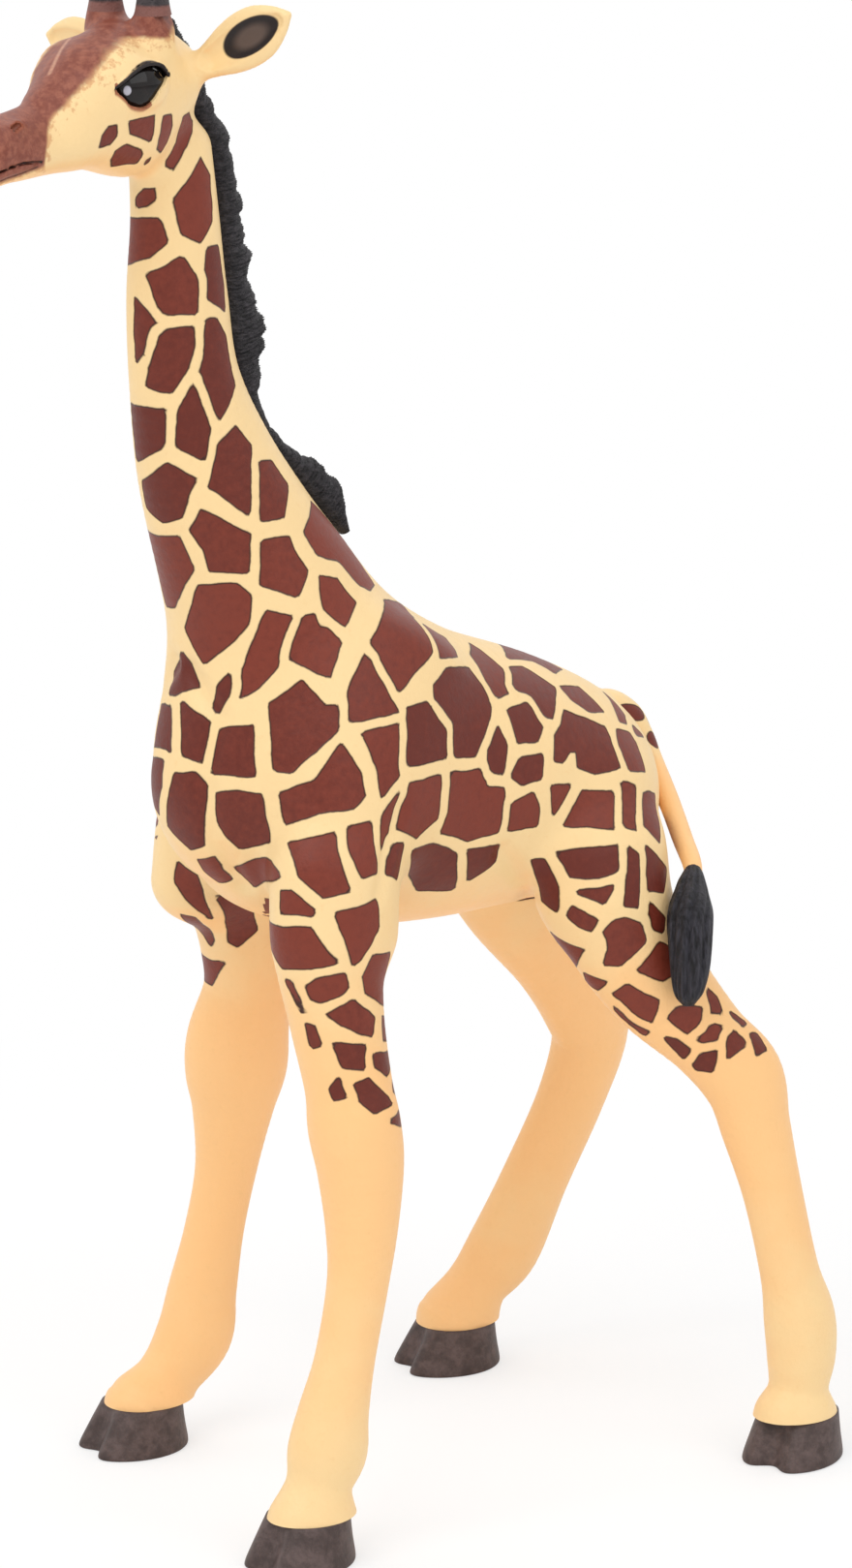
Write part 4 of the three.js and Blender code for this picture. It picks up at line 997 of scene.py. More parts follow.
ABOVE_ALL = HEAD_HEIGHT + SKULL_DEPTH * 2
EAR_CUT_SHARE = 0.16  # of the ear's length
EAR_CUT_ROOM = (1, 0.6, 1)  # of its width, kept round its middle line and clear of the ossicone
OSSICONE_CUT_SHARE = 0.3  # of the ossicone's
OSSICONE_ROOM_BELOW = (0.8, 0.8, 0.2)  # of its width, width and length
OSSICONE_ROOM_ABOVE = (0.8, 0.8, 1)


def tilted_up(degrees):
    """Normal of a plane that is lower in front."""
    return (0, -math.sin(degrees * DEGREE), math.cos(degrees * DEGREE))


neck_cut = Cut(
    neck_cut_middle(NECK_CUT_SHARES), tilted_up(NECK_SLOPE),
    (-TRUNK_LENGTH, -TRUNK_LENGTH * 2, NECK_BASE_HEIGHT), (TRUNK_LENGTH, TRUNK_LENGTH, ABOVE_ALL),
)
head_cut = Cut(
    neck_cut_middle(HEAD_CUT_SHARES), tilted_up(HEAD_SLOPE),
    (-SKULL_LENGTH * 2, HEAD_Y - SKULL_LENGTH * 3, HEAD_HEIGHT - SKULL_DEPTH * 2),
    (SKULL_LENGTH * 2, HEAD_Y + SKULL_LENGTH * 3, ABOVE_ALL),
)


def ear_cut(name):
    """Cut across one ear near its root."""
    way = head_turn @ (np.array([SIDES[name], 1, 1]) * (
        turn_z(EAR_SWEEP) @ turn_y(-EAR_LIFTS[name]) @ np.array([1, 0, 0])
    ))
    root = from_head((SIDES[name] * EAR_SPACING / 2, EAR_BACK, 0))
    middle = root + way * EAR_LENGTH * EAR_CUT_SHARE
    tip = root + way * EAR_LENGTH
    room = EAR_WIDTH * np.array(EAR_CUT_ROOM)
    return Cut(middle, way, np.minimum(middle, tip) - room, np.maximum(middle, tip) + room)


def ossicone_cut(name):
    """Level cut across one ossicone near its root."""
    middle = from_head((
        SIDES[name] * OSSICONE_SPACING / 2, OSSICONE_BACK,
        OSSICONE_ROOT + OSSICONE_LENGTH * OSSICONE_CUT_SHARE,
    ))
    room = np.array([OSSICONE_WIDTH, OSSICONE_WIDTH, OSSICONE_LENGTH])
    low, high = middle - room * OSSICONE_ROOM_BELOW, middle + room * OSSICONE_ROOM_ABOVE
    return Cut(middle, (0, 0, 1), low, high)


ear_cuts = {name: ear_cut(name) for name in SIDES}
ossicone_cuts = {name: ossicone_cut(name) for name in SIDES}


def sole_cut(leg):
    """Level cut that parts a hoof from its leg."""
    x, y = leg.foot
    room = HOOF_LENGTH
    return Cut(
        (x, y, HOOF_HEIGHT), (0, 0, -1),
        (x - room, y - room, -HOOF_HEIGHT), (x + room, y + room, HOOF_HEIGHT * 2),
    )


def cut_mesh(bm, cut, keep_limb):
    """Cuts a bmesh along a plane inside its room and closes the opening with a flat face."""
    flip = 1 if keep_limb else -1
    room_low = cut.low - OVERRUN * 2
    room_high = cut.high + OVERRUN * 2
    faces = [f for f in bm.faces if all(
        room_low[k] < v.co[k] < room_high[k] for v in f.verts for k in range(3)
    )]
    edges = dict.fromkeys(e for f in faces for e in f.edges)
    vertices = dict.fromkeys(v for f in faces for v in f.verts)
    bmesh.ops.bisect_plane(
        bm, geom=[*edges, *vertices, *faces], dist=SEAM / 100,
        plane_co=Vector(cut.middle + cut.normal * SEAM / 2 * flip),
        plane_no=Vector(cut.normal), clear_inner=keep_limb, clear_outer=not keep_limb,
    )
    border = [e for e in bm.edges if e.is_boundary]
    caps = bmesh.ops.holes_fill(bm, edges=border, sides=0)["faces"]
    for face in caps:
        face.smooth = False
        for edge in face.edges:
            edge.smooth = False


# The frame's coordinates from the calf's own, found from the left eye's solid
eye_low, eye_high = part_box("left_eye")
EYE_MIDDLE = from_head((EYE_SPACING / 2, EYE_BACK, -EYE_DROP))
SHIFT = np.array(eye_low + eye_high) / 2 / MM - EYE_MIDDLE


def place(name, node, vertices, faces, normals, marks, material):
    """Makes a finished piece in the frame that stands for a node. Marks are values at vertices."""
    mesh = bpy.data.meshes.new(name)
    mesh.from_pydata(((vertices + SHIFT) * MM).tolist(), [], faces)
    mesh.polygons.foreach_set("use_smooth", [True] * len(mesh.polygons))
    if normals is not None:
        mesh.normals_split_custom_set_from_vertices(normals.tolist())
    for mark, values in marks.items():
        layer = mesh.attributes.new(mark, "FLOAT", "POINT")
        layer.data.foreach_set("value", values.astype(np.float32))
    mesh.materials.append(material)
    piece = bpy.data.objects.new(name, mesh)
    bpy.context.scene.collection.objects.link(piece)
    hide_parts(node)
    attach(piece, "root")
    return piece


def formed(name, low, high, cell, own=None, others=()):
    """Vertices, faces and normals of the body's part inside its own cut and outside others."""

    def form(points):
        d = body_form(points)
        if own is not None:
            d = np.maximum(d, own.distance(points, -OVERRUN))
        for cut in others:
            d = np.maximum(d, -cut.distance(points, OVERRUN))
        return d

    vertices, faces = surface_nets(form, low, high, cell)
    vertices = drawn_onto(form, vertices, cell)
    mesh = bpy.data.meshes.new("forming")
    mesh.from_pydata(vertices.tolist(), [], faces.tolist())
    bm = bmesh.new()
    bm.from_mesh(mesh)
    bpy.data.meshes.remove(mesh)
    if own is not None:
        cut_mesh(bm, own, True)
    for cut in others:
        cut_mesh(bm, cut, False)
    bm.verts.ensure_lookup_table()
    bm.verts.index_update()
    cut_vertices = np.array([v.co[:] for v in bm.verts])
    cut_faces = [[v.index for v in f.verts] for f in bm.faces]
    loose = sum(e.is_boundary for e in bm.edges)
    bm.free()
    print(name, len(cut_vertices), "vertices", loose, "open edges")
    normals = unit(slope(body_form, cut_vertices, cell * PROBE_SHARE))
    return cut_vertices, cut_faces, normals


def loft(rings):
    """Closed quads round a stack of rings, with a fan at both ends."""
    rings = np.asarray(rings, float)
    count, around = rings.shape[:2]
    faces = []
    for r in range(count - 1):
        for i in range(around):
            a, b = r * around + i, r * around + (i + 1) % around
            faces.append((a, b, b + around, a + around))
    points = np.vstack([rings.reshape(-1, 3), rings[0].mean(axis=0), rings[-1].mean(axis=0)])
    first, last = len(points) - 2, len(points) - 1
    base = (count - 1) * around
    for i in range(around):
        faces.append(((i + 1) % around, i, first))
        faces.append((base + i, base + (i + 1) % around, last))
    return points, faces


# Hooves
HOOF_SIDES = 120
HOOF_STEPS = 8
HOOF_EDGE = 0.25  # rounding at the sole's rim


def hoof(leg):
    """Rings of one hoof, notched at the toe."""
    turn = turn_z(leg.turn)
    angle = np.arange(HOOF_SIDES) / HOOF_SIDES * 2 * math.pi
    toe = np.minimum(angle, 2 * math.pi - angle)
    rings = []
    rows = smooth_rows(HOOF_SHARES, HOOF_STEPS)
    rim = HOOF_EDGE / HOOF_WIDTH * 2
    rows = np.vstack([rows[:1] - (0, rim, rim, 0, 0), rows])
    rows[1:3, 0] += (HOOF_EDGE / HOOF_HEIGHT / 2, 0)
    for up, long, wide, back, cleft in rows:
        notch = CLEFT_DEPTH * cleft * np.exp(-((toe * HOOF_WIDTH / CLEFT_WIDTH / 2) ** 2))
        x = HOOF_WIDTH / 2 * wide * np.sin(angle)
        y = -(HOOF_LENGTH / 2 * long - notch) * np.cos(angle) + HOOF_LENGTH * back
        ring = np.stack([x, y, np.full_like(x, HOOF_HEIGHT * up)], axis=1) @ turn.T
        rings.append(ring + (leg.foot[0], leg.foot[1], 0))
    return loft(rings)


# Mane
MANE_RINGS = 620
MANE_SIDES = 32
MANE_STEPS = 12  # between two rows of its height and width
MANE_PATH_STEPS = 60
LOCKS = 19  # along the whole mane
LOCK_SHARE = 0.2  # of the height, how far a lock's notch goes down
LOCK_SHARPNESS = 2.5
LOCK_WANDER = [(0.008, 31), (0.005, 77)]  # how far the notches stray along the mane, how often
TIP_SHARE = 0.09  # smaller notches between
TIP_PACE = 9  # radians for each lock, one notch every half turn
TIP_WANDER = (0.01, 53)
STRANDS = 150
STRAND_SHARE = 0.04
STRAND_SLANT = 0.012  # how far a strand leans along the mane from its foot to its tip
SECOND_STRANDS = 1.37  # times as many, half as deep
MANE_END = (0.5, 12)  # share of the height at either end, and how fast it grows from there
CROWN_TUFT = 0.3  # extra height of the tuft behind the ossicones
CROWN_TUFT_AT = 0.968  # its middle along the mane
CROWN_TUFT_REACH = 0.025


def mane_path():
    """Points of the mane's foot at even steps along it, and the directions there."""
    knots = [
        (0, NECK_BASE_Y - NECK_LEAN * lean + NECK_DEPTH / 2 * back,
         NECK_BASE_HEIGHT + NECK_RISE * up)
        for up, lean, back in MANE_PATH_SHARES
    ] + [from_head((0, SKULL_LENGTH * back, SKULL_DEPTH * up)) for back, up in CROWN_PATH_SHARES]
    line = smooth_rows(knots, MANE_PATH_STEPS)
    run = np.concatenate([[0], np.cumsum(np.linalg.norm(np.diff(line, axis=0), axis=1))])
    even = np.linspace(0, run[-1], MANE_RINGS)
    points = np.stack([np.interp(even, run, line[:, k]) for k in range(3)], axis=1)
    return points, unit(np.gradient(points, axis=0))


def lock_height(along, lean):
    """Share of the mane's height that its notches leave, at lean, which strays from along."""
    uneven = lean + sum(far * math.sin(along * often) for far, often in LOCK_WANDER)
    lock = 1 - LOCK_SHARE * np.abs(np.cos(uneven * LOCKS * math.pi)) ** LOCK_SHARPNESS
    tip = uneven + TIP_WANDER[0] * math.sin(along * TIP_WANDER[1])
    return lock - TIP_SHARE * np.abs(np.cos(tip * LOCKS * TIP_PACE))


def strand_swell(lean):
    """How far the mane's strands stand out, near 1."""
    turned = lean * STRANDS * 2 * math.pi
    return 1 - STRAND_SHARE * (np.cos(turned) + np.cos(turned * SECOND_STRANDS) / 2)


def mane():
    """Rings of the mane across its path, taller at each lock."""
    points, ways = mane_path()
    rows = smooth_rows(MANE_SHARES, MANE_STEPS)
    along = np.linspace(0, 1, MANE_RINGS)
    tall = np.interp(along, rows[:, 0], rows[:, 1])
    tall += CROWN_TUFT * np.exp(-(((along - CROWN_TUFT_AT) / CROWN_TUFT_REACH) ** 2))
    tall *= MANE_HEIGHT
    wide = np.interp(along, rows[:, 0], rows[:, 2]) * MANE_WIDTH / 2
    end = np.minimum(1, MANE_END[1] * np.minimum(along, 1 - along) + MANE_END[0])
    angle = -np.arange(MANE_SIDES) / MANE_SIDES * 2 * math.pi
    raised = np.cos(angle) > 0
    rings = []
    for n, (at, way) in enumerate(zip(points, ways)):
        out = np.array([0, way[2], -way[1]])
        lean = along[n] + STRAND_SLANT * np.abs(np.sin(angle))
        strand = strand_swell(lean)
        rise = np.where(raised, tall[n] * lock_height(along[n], lean) * strand, MANE_ROOT) * end[n]
        ring = at + np.outer(rise * np.cos(angle), out)
        ring[:, 0] += wide[n] * strand * np.sin(angle)
        rings.append(ring)
    return loft(rings)


# Tail and its tuft
TAIL_SIDES = 40
TAIL_STEPS = 10
TUFT_SIDES = 96
TUFT_STEPS = 14
TUFT_STRANDS = 8
TUFT_STRAND_SHARE = 0.12
TUFT_TWIST = 30  # degrees from top to tip


def bent_rings(rows, sides, swell):
    """Rings round a bent line whose rows are x, y, z and radius. swell(along, angle) is near 1."""
    angle = -np.arange(sides) / sides * 2 * math.pi
    ways = unit(np.gradient(rows[:, :3], axis=0))
    rings = []
    for n, ((x, y, z, radius), way) in enumerate(zip(rows, ways)):
        across = np.array([1, 0, 0]) - way * way[0]
        across /= np.linalg.norm(across)
        out = np.cross(way, across)
        reach = radius * swell(n / (len(rows) - 1), angle)
        rings.append(np.outer(reach * np.sin(angle), across) + np.outer(reach * np.cos(angle), out)
                     + (x, y, z))
    return loft(rings)


def tail_tube():
    """Rings of the tail along its bend."""
    rows = [
        (TAIL_SWING * swing, TAIL_ROOT_Y + TAIL_REACH * back, TAIL_ROOT_HEIGHT - TAIL_DROP * down,
         TAIL_WIDTH / 2 * wide)
        for down, back, swing, wide in TAIL_SHARES
    ]
    return bent_rings(smooth_rows(rows, TAIL_STEPS), TAIL_SIDES, lambda along, angle: 1)


def tuft_swell(along, angle):
    """Strands that run down the tuft, deepest in its middle."""
    turned = (angle + along * TUFT_TWIST * DEGREE) * TUFT_STRANDS
    fine = np.abs(np.cos(turned / 2)) - np.cos(turned * 2 + 1) / 4
    return 1 + TUFT_STRAND_SHARE * (fine - 0.5) * min(1, 4 * along, 6 * (1 - along))


def tuft():
    """Rings of the tail's tuft."""
    rows = [
        (TAIL_SWING + TUFT_SWING * swing, TAIL_ROOT_Y - TUFT_LEAD * lead,
         TAIL_ROOT_HEIGHT - TAIL_DROP - TUFT_LENGTH * down, TUFT_WIDTH / 2 * wide)
        for down, lead, swing, wide in TUFT_SHARES
    ]
    return bent_rings(smooth_rows(rows, TUFT_STEPS), TUFT_SIDES, tuft_swell)


# Eyeballs
EYE_SIDES = 64
EYE_RINGS = 40


def eyeball(side):
    """Rings of one eyeball, from its inner pole to its outer one."""
    angle = np.arange(EYE_SIDES) / EYE_SIDES * 2 * math.pi
    rings = []
    for n in range(1, EYE_RINGS):
        polar = n / EYE_RINGS * math.pi
        ring = np.stack([
            np.full(EYE_SIDES, -side * EYE_DEPTH / 2 * math.cos(polar)),
            EYE_LENGTH / 2 * math.sin(polar) * np.cos(angle),
            EYE_HEIGHT / 2 * math.sin(polar) * np.sin(angle) * side,
        ], axis=1)
        ring = ring @ turn_z(-side * EYE_TURN).T + (side * EYE_SPACING / 2, EYE_BACK, -EYE_DROP)
        rings.append(from_head(ring))
    return loft(rings)


# Coat. Patches seen in the photograph are outlines in its pixels, each laid on a plane that
# touches the body there. On the sides that it doesn't show, patches grow from centres to half way
# to the next one.
PATCHES_PX = [
    [(102, 152), (105, 140), (112, 130), (121, 129), (121, 140), (114, 150)],
    [(133, 124), (160, 118), (159, 140), (155, 147), (145, 142), (134, 139)],
    [(114, 165), (119, 156), (130, 148), (146, 154), (149, 162), (142, 169), (130, 170),
     (115, 172)],
    [(148, 168), (150, 164), (156, 162), (154, 167), (150, 170)],
    [(169, 120), (178, 118), (178, 130), (172, 148), (166, 158), (162, 155), (164, 140)],
    [(189, 120), (195, 116), (199, 125), (199, 135), (190, 156), (179, 178), (171, 172),
     (171, 166), (182, 148), (186, 130)],
    [(207, 162), (217, 180), (220, 227), (208, 252), (187, 243), (178, 207)],
    [(140, 205), (148, 195), (160, 193), (161, 205), (152, 213), (141, 215)],
    [(123, 227), (163, 224), (168, 230), (175, 250), (153, 267), (123, 277)],
    [(153, 284), (188, 267), (204, 290), (202, 323), (168, 323)],
    [(140, 309), (161, 332), (150, 367), (141, 373)],
    [(162, 343), (202, 338), (200, 367), (177, 405), (153, 398), (156, 363)],
    [(211, 332), (223, 330), (232, 347), (242, 397), (226, 432), (207, 383)],
    [(215, 257), (225, 255), (230, 290), (232, 320), (215, 307), (213, 277)],
    [(201, 396), (207, 417), (216, 443), (210, 473), (180, 460), (182, 430)],
    [(130, 425), (172, 423), (172, 457), (137, 480)],
    [(148, 498), (173, 480), (200, 495), (187, 533), (168, 538), (152, 523)],
    [(243, 441), (258, 460), (257, 530), (217, 502), (227, 460)],
    [(268, 478), (280, 477), (296, 500), (293, 533), (271, 537)],
    [(208, 527), (257, 553), (257, 590), (217, 588), (212, 567), (198, 548)],
    [(270, 560), (298, 555), (303, 570), (317, 590), (307, 615), (270, 603)],
    [(143, 556), (185, 555), (198, 587), (180, 625), (163, 630)],
    [(206, 605), (245, 604), (258, 615), (255, 645), (235, 665), (211, 684), (192, 650),
     (198, 630)],
    [(322, 519), (340, 530), (360, 550), (375, 572), (390, 600), (381, 608), (372, 604),
     (350, 578), (328, 572), (315, 550)],
    [(331, 596), (348, 599), (366, 622), (356, 645), (335, 628)],
    [(275, 632), (300, 638), (290, 660), (285, 688), (265, 710), (249, 719), (250, 695),
     (265, 658)],
    [(315, 638), (324, 636), (329, 649), (338, 650), (351, 662), (340, 698), (301, 680),
     (306, 658)],
    [(398, 621), (415, 624), (432, 642), (445, 668), (446, 672), (411, 714), (390, 682),
     (384, 662)],
    [(378, 676), (386, 680), (410, 736), (359, 745), (361, 715)],
    [(280, 728), (312, 705), (335, 730), (351, 730), (350, 750), (325, 775), (300, 796),
     (284, 794)],
    [(224, 755), (260, 750), (262, 800), (218, 798)],
    [(188, 726), (215, 746), (215, 755), (206, 786), (190, 779)],
    [(238, 696), (241, 708), (222, 736), (219, 730), (225, 710)],
    [(188, 674), (201, 708), (175, 719), (175, 695)],
    [(164, 730), (176, 728), (176, 775), (158, 768)],
    [(150, 784), (169, 784), (166, 812), (164, 840), (148, 820)],
    [(181, 800), (200, 799), (210, 812), (209, 872), (196, 876), (174, 852), (176, 820)],
    [(222, 822), (245, 818), (269, 822), (278, 869), (248, 875), (224, 852)],
    [(290, 820), (325, 808), (352, 770), (372, 800), (376, 820), (364, 834), (330, 838),
     (295, 850)],
    [(375, 758), (411, 748), (412, 800), (395, 822), (390, 790)],
    [(300, 872), (345, 861), (352, 900), (360, 920), (335, 926), (310, 905)],
    [(361, 855), (386, 848), (389, 900), (375, 906), (362, 880)],
    [(412, 818), (401, 875), (395, 878), (392, 848)],
    [(240, 899), (265, 889), (280, 891), (289, 904), (260, 915)],
    [(206, 889), (220, 888), (238, 910), (225, 910), (212, 900)],
    [(185, 892), (202, 904), (218, 948), (198, 932), (182, 910)],
    [(441, 638), (472, 652), (472, 678), (455, 678)],
    [(486, 665), (520, 692), (524, 715), (510, 720), (488, 678)],
    [(520, 658), (542, 662), (580, 688), (572, 694), (550, 682), (525, 679)],
    [(528, 690), (540, 689), (572, 710), (570, 741), (560, 738), (550, 720), (528, 708)],
    [(449, 708), (462, 692), (485, 691), (506, 720), (505, 740), (490, 779), (470, 780),
     (469, 745), (450, 720)],
    [(421, 732), (440, 726), (460, 755), (460, 782), (419, 791)],
    [(525, 734), (545, 725), (559, 750), (555, 765), (535, 766)],
    [(515, 752), (522, 768), (520, 799), (505, 795), (505, 775)],
    [(538, 784), (560, 780), (559, 802), (540, 809), (528, 800)],
    [(584, 735), (625, 752), (640, 792), (615, 798), (598, 792), (596, 775), (588, 774),
     (581, 785), (574, 784), (574, 760)],
    [(580, 710), (598, 710), (622, 734), (608, 734), (590, 722)],
    [(638, 754), (652, 756), (665, 795), (650, 795), (639, 770)],
    [(625, 716), (646, 740), (648, 748), (640, 745)],
    [(652, 748), (664, 760), (655, 758)],
    [(424, 810), (454, 802), (451, 845), (430, 864), (412, 854)],
    [(466, 799), (498, 796), (502, 814), (520, 815), (515, 858), (485, 866), (456, 859),
     (464, 840)],
    [(528, 830), (550, 820), (556, 832), (554, 852), (525, 856)],
    [(570, 812), (588, 811), (572, 840)],
    [(602, 818), (636, 818), (636, 855), (584, 851)],
    [(642, 808), (656, 812), (656, 856), (642, 852)],
    [(665, 820), (676, 820), (681, 868), (665, 852)],
    [(404, 872), (416, 872), (410, 906), (402, 902)],
    [(426, 880), (448, 872), (470, 882), (468, 918), (432, 918), (424, 902)],
    [(484, 878), (516, 874), (512, 890), (484, 908)],
    [(551, 889), (562, 889), (575, 915), (575, 940), (560, 930)],
    [(576, 881), (638, 874), (639, 898), (618, 905), (590, 905)],
    [(649, 875), (659, 882), (658, 936), (646, 935)],
    [(668, 875), (688, 898), (685, 920), (670, 919)],
    [(598, 921), (632, 916), (624, 932)],
    [(225, 926), (255, 925), (264, 960), (245, 976), (238, 972), (235, 948)],
    [(188, 945), (202, 948), (220, 970), (218, 975), (202, 968)],
    [(208, 985), (230, 994), (218, 1015), (208, 1010)],
    [(291, 921), (300, 921), (324, 940), (321, 944), (291, 941)],
    [(272, 958), (320, 959), (346, 994), (340, 996), (292, 998), (280, 978)],
    [(348, 945), (390, 931), (390, 958), (372, 990), (365, 995), (355, 965)],
    [(385, 988), (402, 986), (402, 1040), (378, 1025), (376, 1008)],
    [(315, 1020), (330, 1010), (355, 1008), (359, 1018), (350, 1028), (318, 1036)],
    [(296, 1012), (302, 1015), (320, 1042), (312, 1045)],
    [(339, 1048), (365, 1034), (386, 1052), (384, 1068), (352, 1058)],
    [(316, 1058), (324, 1060), (330, 1078), (322, 1080)],
    [(395, 1050), (404, 1050), (405, 1075), (396, 1075)],
    [(345, 1079), (376, 1080), (375, 1102), (355, 1102)],
    [(386, 1090), (405, 1086), (408, 1102), (399, 1110), (388, 1101)],
    [(342, 1125), (350, 1115), (359, 1132), (345, 1135)],
    [(366, 1121), (380, 1115), (405, 1138), (388, 1149), (372, 1135)],
    [(406, 1118), (416, 1115), (418, 1132), (406, 1128)],
    [(404, 1158), (416, 1148), (419, 1161)],
    [(672, 934), (680, 942), (686, 948), (684, 962), (674, 958), (671, 950)],
    [(585, 945), (592, 938), (602, 942), (615, 951), (610, 960), (598, 955)],
    [(635, 952), (645, 950), (665, 955), (665, 972), (640, 996), (626, 995), (630, 980),
     (625, 962)],
    [(570, 964), (602, 981), (592, 999), (585, 990)],
    [(681, 975), (689, 978), (700, 1000), (684, 1012), (660, 1001)],
    [(604, 1006), (625, 1014), (616, 1021), (606, 1016)],
    [(634, 1026), (648, 1018), (679, 1034), (672, 1056), (658, 1050)],
    [(635, 1040), (669, 1065), (665, 1068), (636, 1044)],
    [(692, 1050), (700, 1040), (725, 1042), (721, 1060), (711, 1066)],
    [(720, 1072), (738, 1056), (748, 1059), (740, 1072), (725, 1079)],
    [(731, 1022), (740, 1030), (746, 1050), (735, 1048)],
    [(755, 1046), (770, 1056), (766, 1061)],
    [(751, 1069), (760, 1064), (769, 1078), (752, 1091)],
    [(776, 1069), (782, 1068), (790, 1082), (782, 1088)],
    [(688, 1072), (698, 1074), (714, 1085), (706, 1092)],
    [(716, 1099), (725, 1086), (739, 1086), (735, 1105), (720, 1104)],
]
PLAIN_CENTRES_PX = [
    (95, 150), (113, 118), (130, 118), (104, 165), (122, 180), (88, 130), (205, 122), (188, 105),
    (150, 112), (170, 112), (450, 938), (500, 925), (530, 915), (540, 960), (300, 1060),
    (270, 1000), (235, 1060), (360, 1200), (400, 1190), (335, 1150), (560, 985), (610, 1050),
    (670, 1085), (700, 1112), (750, 1120), (800, 1100), (300, 1110), (215, 1080),
]
HEAD_ROUND = SKULL_LENGTH * 1.3  # from the head's origin, as far as the head's own places go
CHEEK_ROUND = SKULL_LENGTH * 1.25  # the same for the spacing of its centres
THROAT_LOW = -JAW_DEPTH * 1.3  # in the head's own coordinates, below it the neck begins
FACE_BACK = SKULL_LENGTH * 0.3  # in front of it the face has no grown patches
NECK_LOW = NECK_BASE_HEIGHT + NECK_RISE * 0.2  # above it centres are spaced as on the neck
LEG_TOP = HIP_HEIGHT * 0.83  # below it are the legs, above it the hidden side has mirrored patches
BELLY_TOP = SHOULDER_HEIGHT * 1.02  # above it nothing is belly
NORMAL_WEIGHT = 3  # how far apart two opposite sides of a thin limb count, for each of them
FILL_CELL = 1.2  # grid of the spots where a centre can be
BODY_SPACING = 4.6  # least distance between filled-in centres
NECK_SPACING = 4.4
LEG_SPACING = 3.6
KNEE_SPACING = 2.7
HEAD_SPACING = 3
KNEE_HEIGHT = 34  # below it the legs are plain
KNEE_BAND = 8  # above that height, where centres are as close as at the knees
PALE_FOOT_LOW = 6  # the legs' paint pales from the knees down to this height
BELLY_FACING = -0.5  # upward share of a face's direction, below which the belly is plain
INNER_FACING = 0.35  # inward share, above which a leg is plain
EDGE_REACH = 9  # a turn of a whole right angle past the photograph's edge counts as this far
ROOM_AT_EDGE = 0.8  # how far a grown centre may be inside the edge of what the photograph shows
ROOM_SHARE = 0.55  # a grown patch's centre is at least this share of the spacing from other paint
GROWN_REACH = 3.4  # furthest that a grown patch goes from its centre
SEEN_CELL_PX = 17  # of the coarse picture that tells which places the camera sees
SEEN_DEPTH = 2  # a place this far behind the nearest one is hidden
SEEN_FRONT = 0.2  # least share of facing the camera that this depth is divided by
CORNER_ROUNDING = 8  # for each millimetre, larger is sharper
WARP = 0.45  # how far the borders of grown patches waver
WARP_LENGTH = 4.5
WARP_FACTORS = (0.83, 0.47, 4)  # odd ones, so that the waves don't repeat soon
PAINT_WARP = 0.07  # how far the borders of traced patches waver
TONE_TURN = 12.9  # radians between the tones of two patches
CHUNK = 12000  # vertices worked out at one time
PATCH_MARGIN = 3  # how far outside a patch its distance is still told
PATCH_FACING = -0.1  # places that face its way less than this have none of a patch
FACING_FADE = 0.25  # below this share of facing its way a patch shrinks
PATCH_THICKNESS = 6  # a patch paints nothing further from its plane
PATCH_FADE = 3  # further from its plane it shrinks
PATCH_GROWTH = 0.24  # how far the paint goes past the outline
FACE_GROWTH = 0.05  # the same on the head
PATCH_GAP_HALF = 0.36  # half the least width of the plain lines between traced patches
BORDER_HALF = 0.42  # half the width of the plain lines between grown patches


def waver(points):
    """A smooth wandering of up to one in each direction."""
    out = np.zeros_like(points)
    turn = points / WARP_LENGTH * 2 * math.pi
    slow, slower, late = WARP_FACTORS
    for k in range(3):
        a, b = turn[:, (k + 1) % 3], turn[:, (k + 2) % 3]
        out[:, k] = (np.sin(a + k) + np.sin(b * slow + 2 * k) + np.sin((a + b) * slower + late)) / 3
    return out


def facing(points):
    """Outward directions of the body's form at the points."""
    return unit(slope(body_form, points, TRUNK_CELL * PROBE_SHARE))


BODY_LOW = (-TRUNK_WIDTH * 1.2, HEAD_Y - SKULL_LENGTH * 1.6, HOOF_HEIGHT)
BODY_HIGH = (TRUNK_WIDTH * 1.2, TRUNK_FRONT + TRUNK_LENGTH * 1.6, HEAD_HEIGHT + SKULL_DEPTH)
spots = surface_nets(base_form, BODY_LOW, BODY_HIGH, FILL_CELL)[0]
spots = drawn_onto(base_form, spots, FILL_CELL)
SEEN_COLUMN = math.ceil(PHOTO_HEIGHT_PX / SEEN_CELL_PX)


def depth_cells(points):
    """Each point's cell in a coarse picture from the camera, and its distance from the camera."""
    pixels = in_pixels(points)
    inside = (pixels > 0).all(axis=1) & (pixels < (PHOTO_WIDTH_PX, PHOTO_HEIGHT_PX)).all(axis=1)
    across, down = (pixels / SEEN_CELL_PX).astype(int).T
    cells = np.where(inside, across * SEEN_COLUMN + down, -1)
    return cells, np.linalg.norm(points - CAMERA, axis=1)


spot_cells, spot_depths = depth_cells(spots)
nearest_depths = np.full(SEEN_COLUMN ** 2, FAR)
np.minimum.at(nearest_depths, spot_cells[spot_cells >= 0], spot_depths[spot_cells >= 0])


def seen(points, normals):
    """Which points of the body's surface the photograph shows."""
    cells, depths = depth_cells(points)
    front = toward_camera(points, normals)
    room = SEEN_DEPTH / np.maximum(front, SEEN_FRONT)
    return (cells >= 0) & (front > 0) & (depths < nearest_depths[cells] + room)


def on_ear(local):
    """Which points, in head coordinates, are on an ear."""
    out = np.zeros(len(local), bool)
    for name in SIDES:
        ear = to_ear(local, name)
        out |= (ear_blade.distance(ear) < EAR_THICKNESS) & (ear[:, 0] > EAR_LENGTH * EAR_CUT_SHARE)
    return out


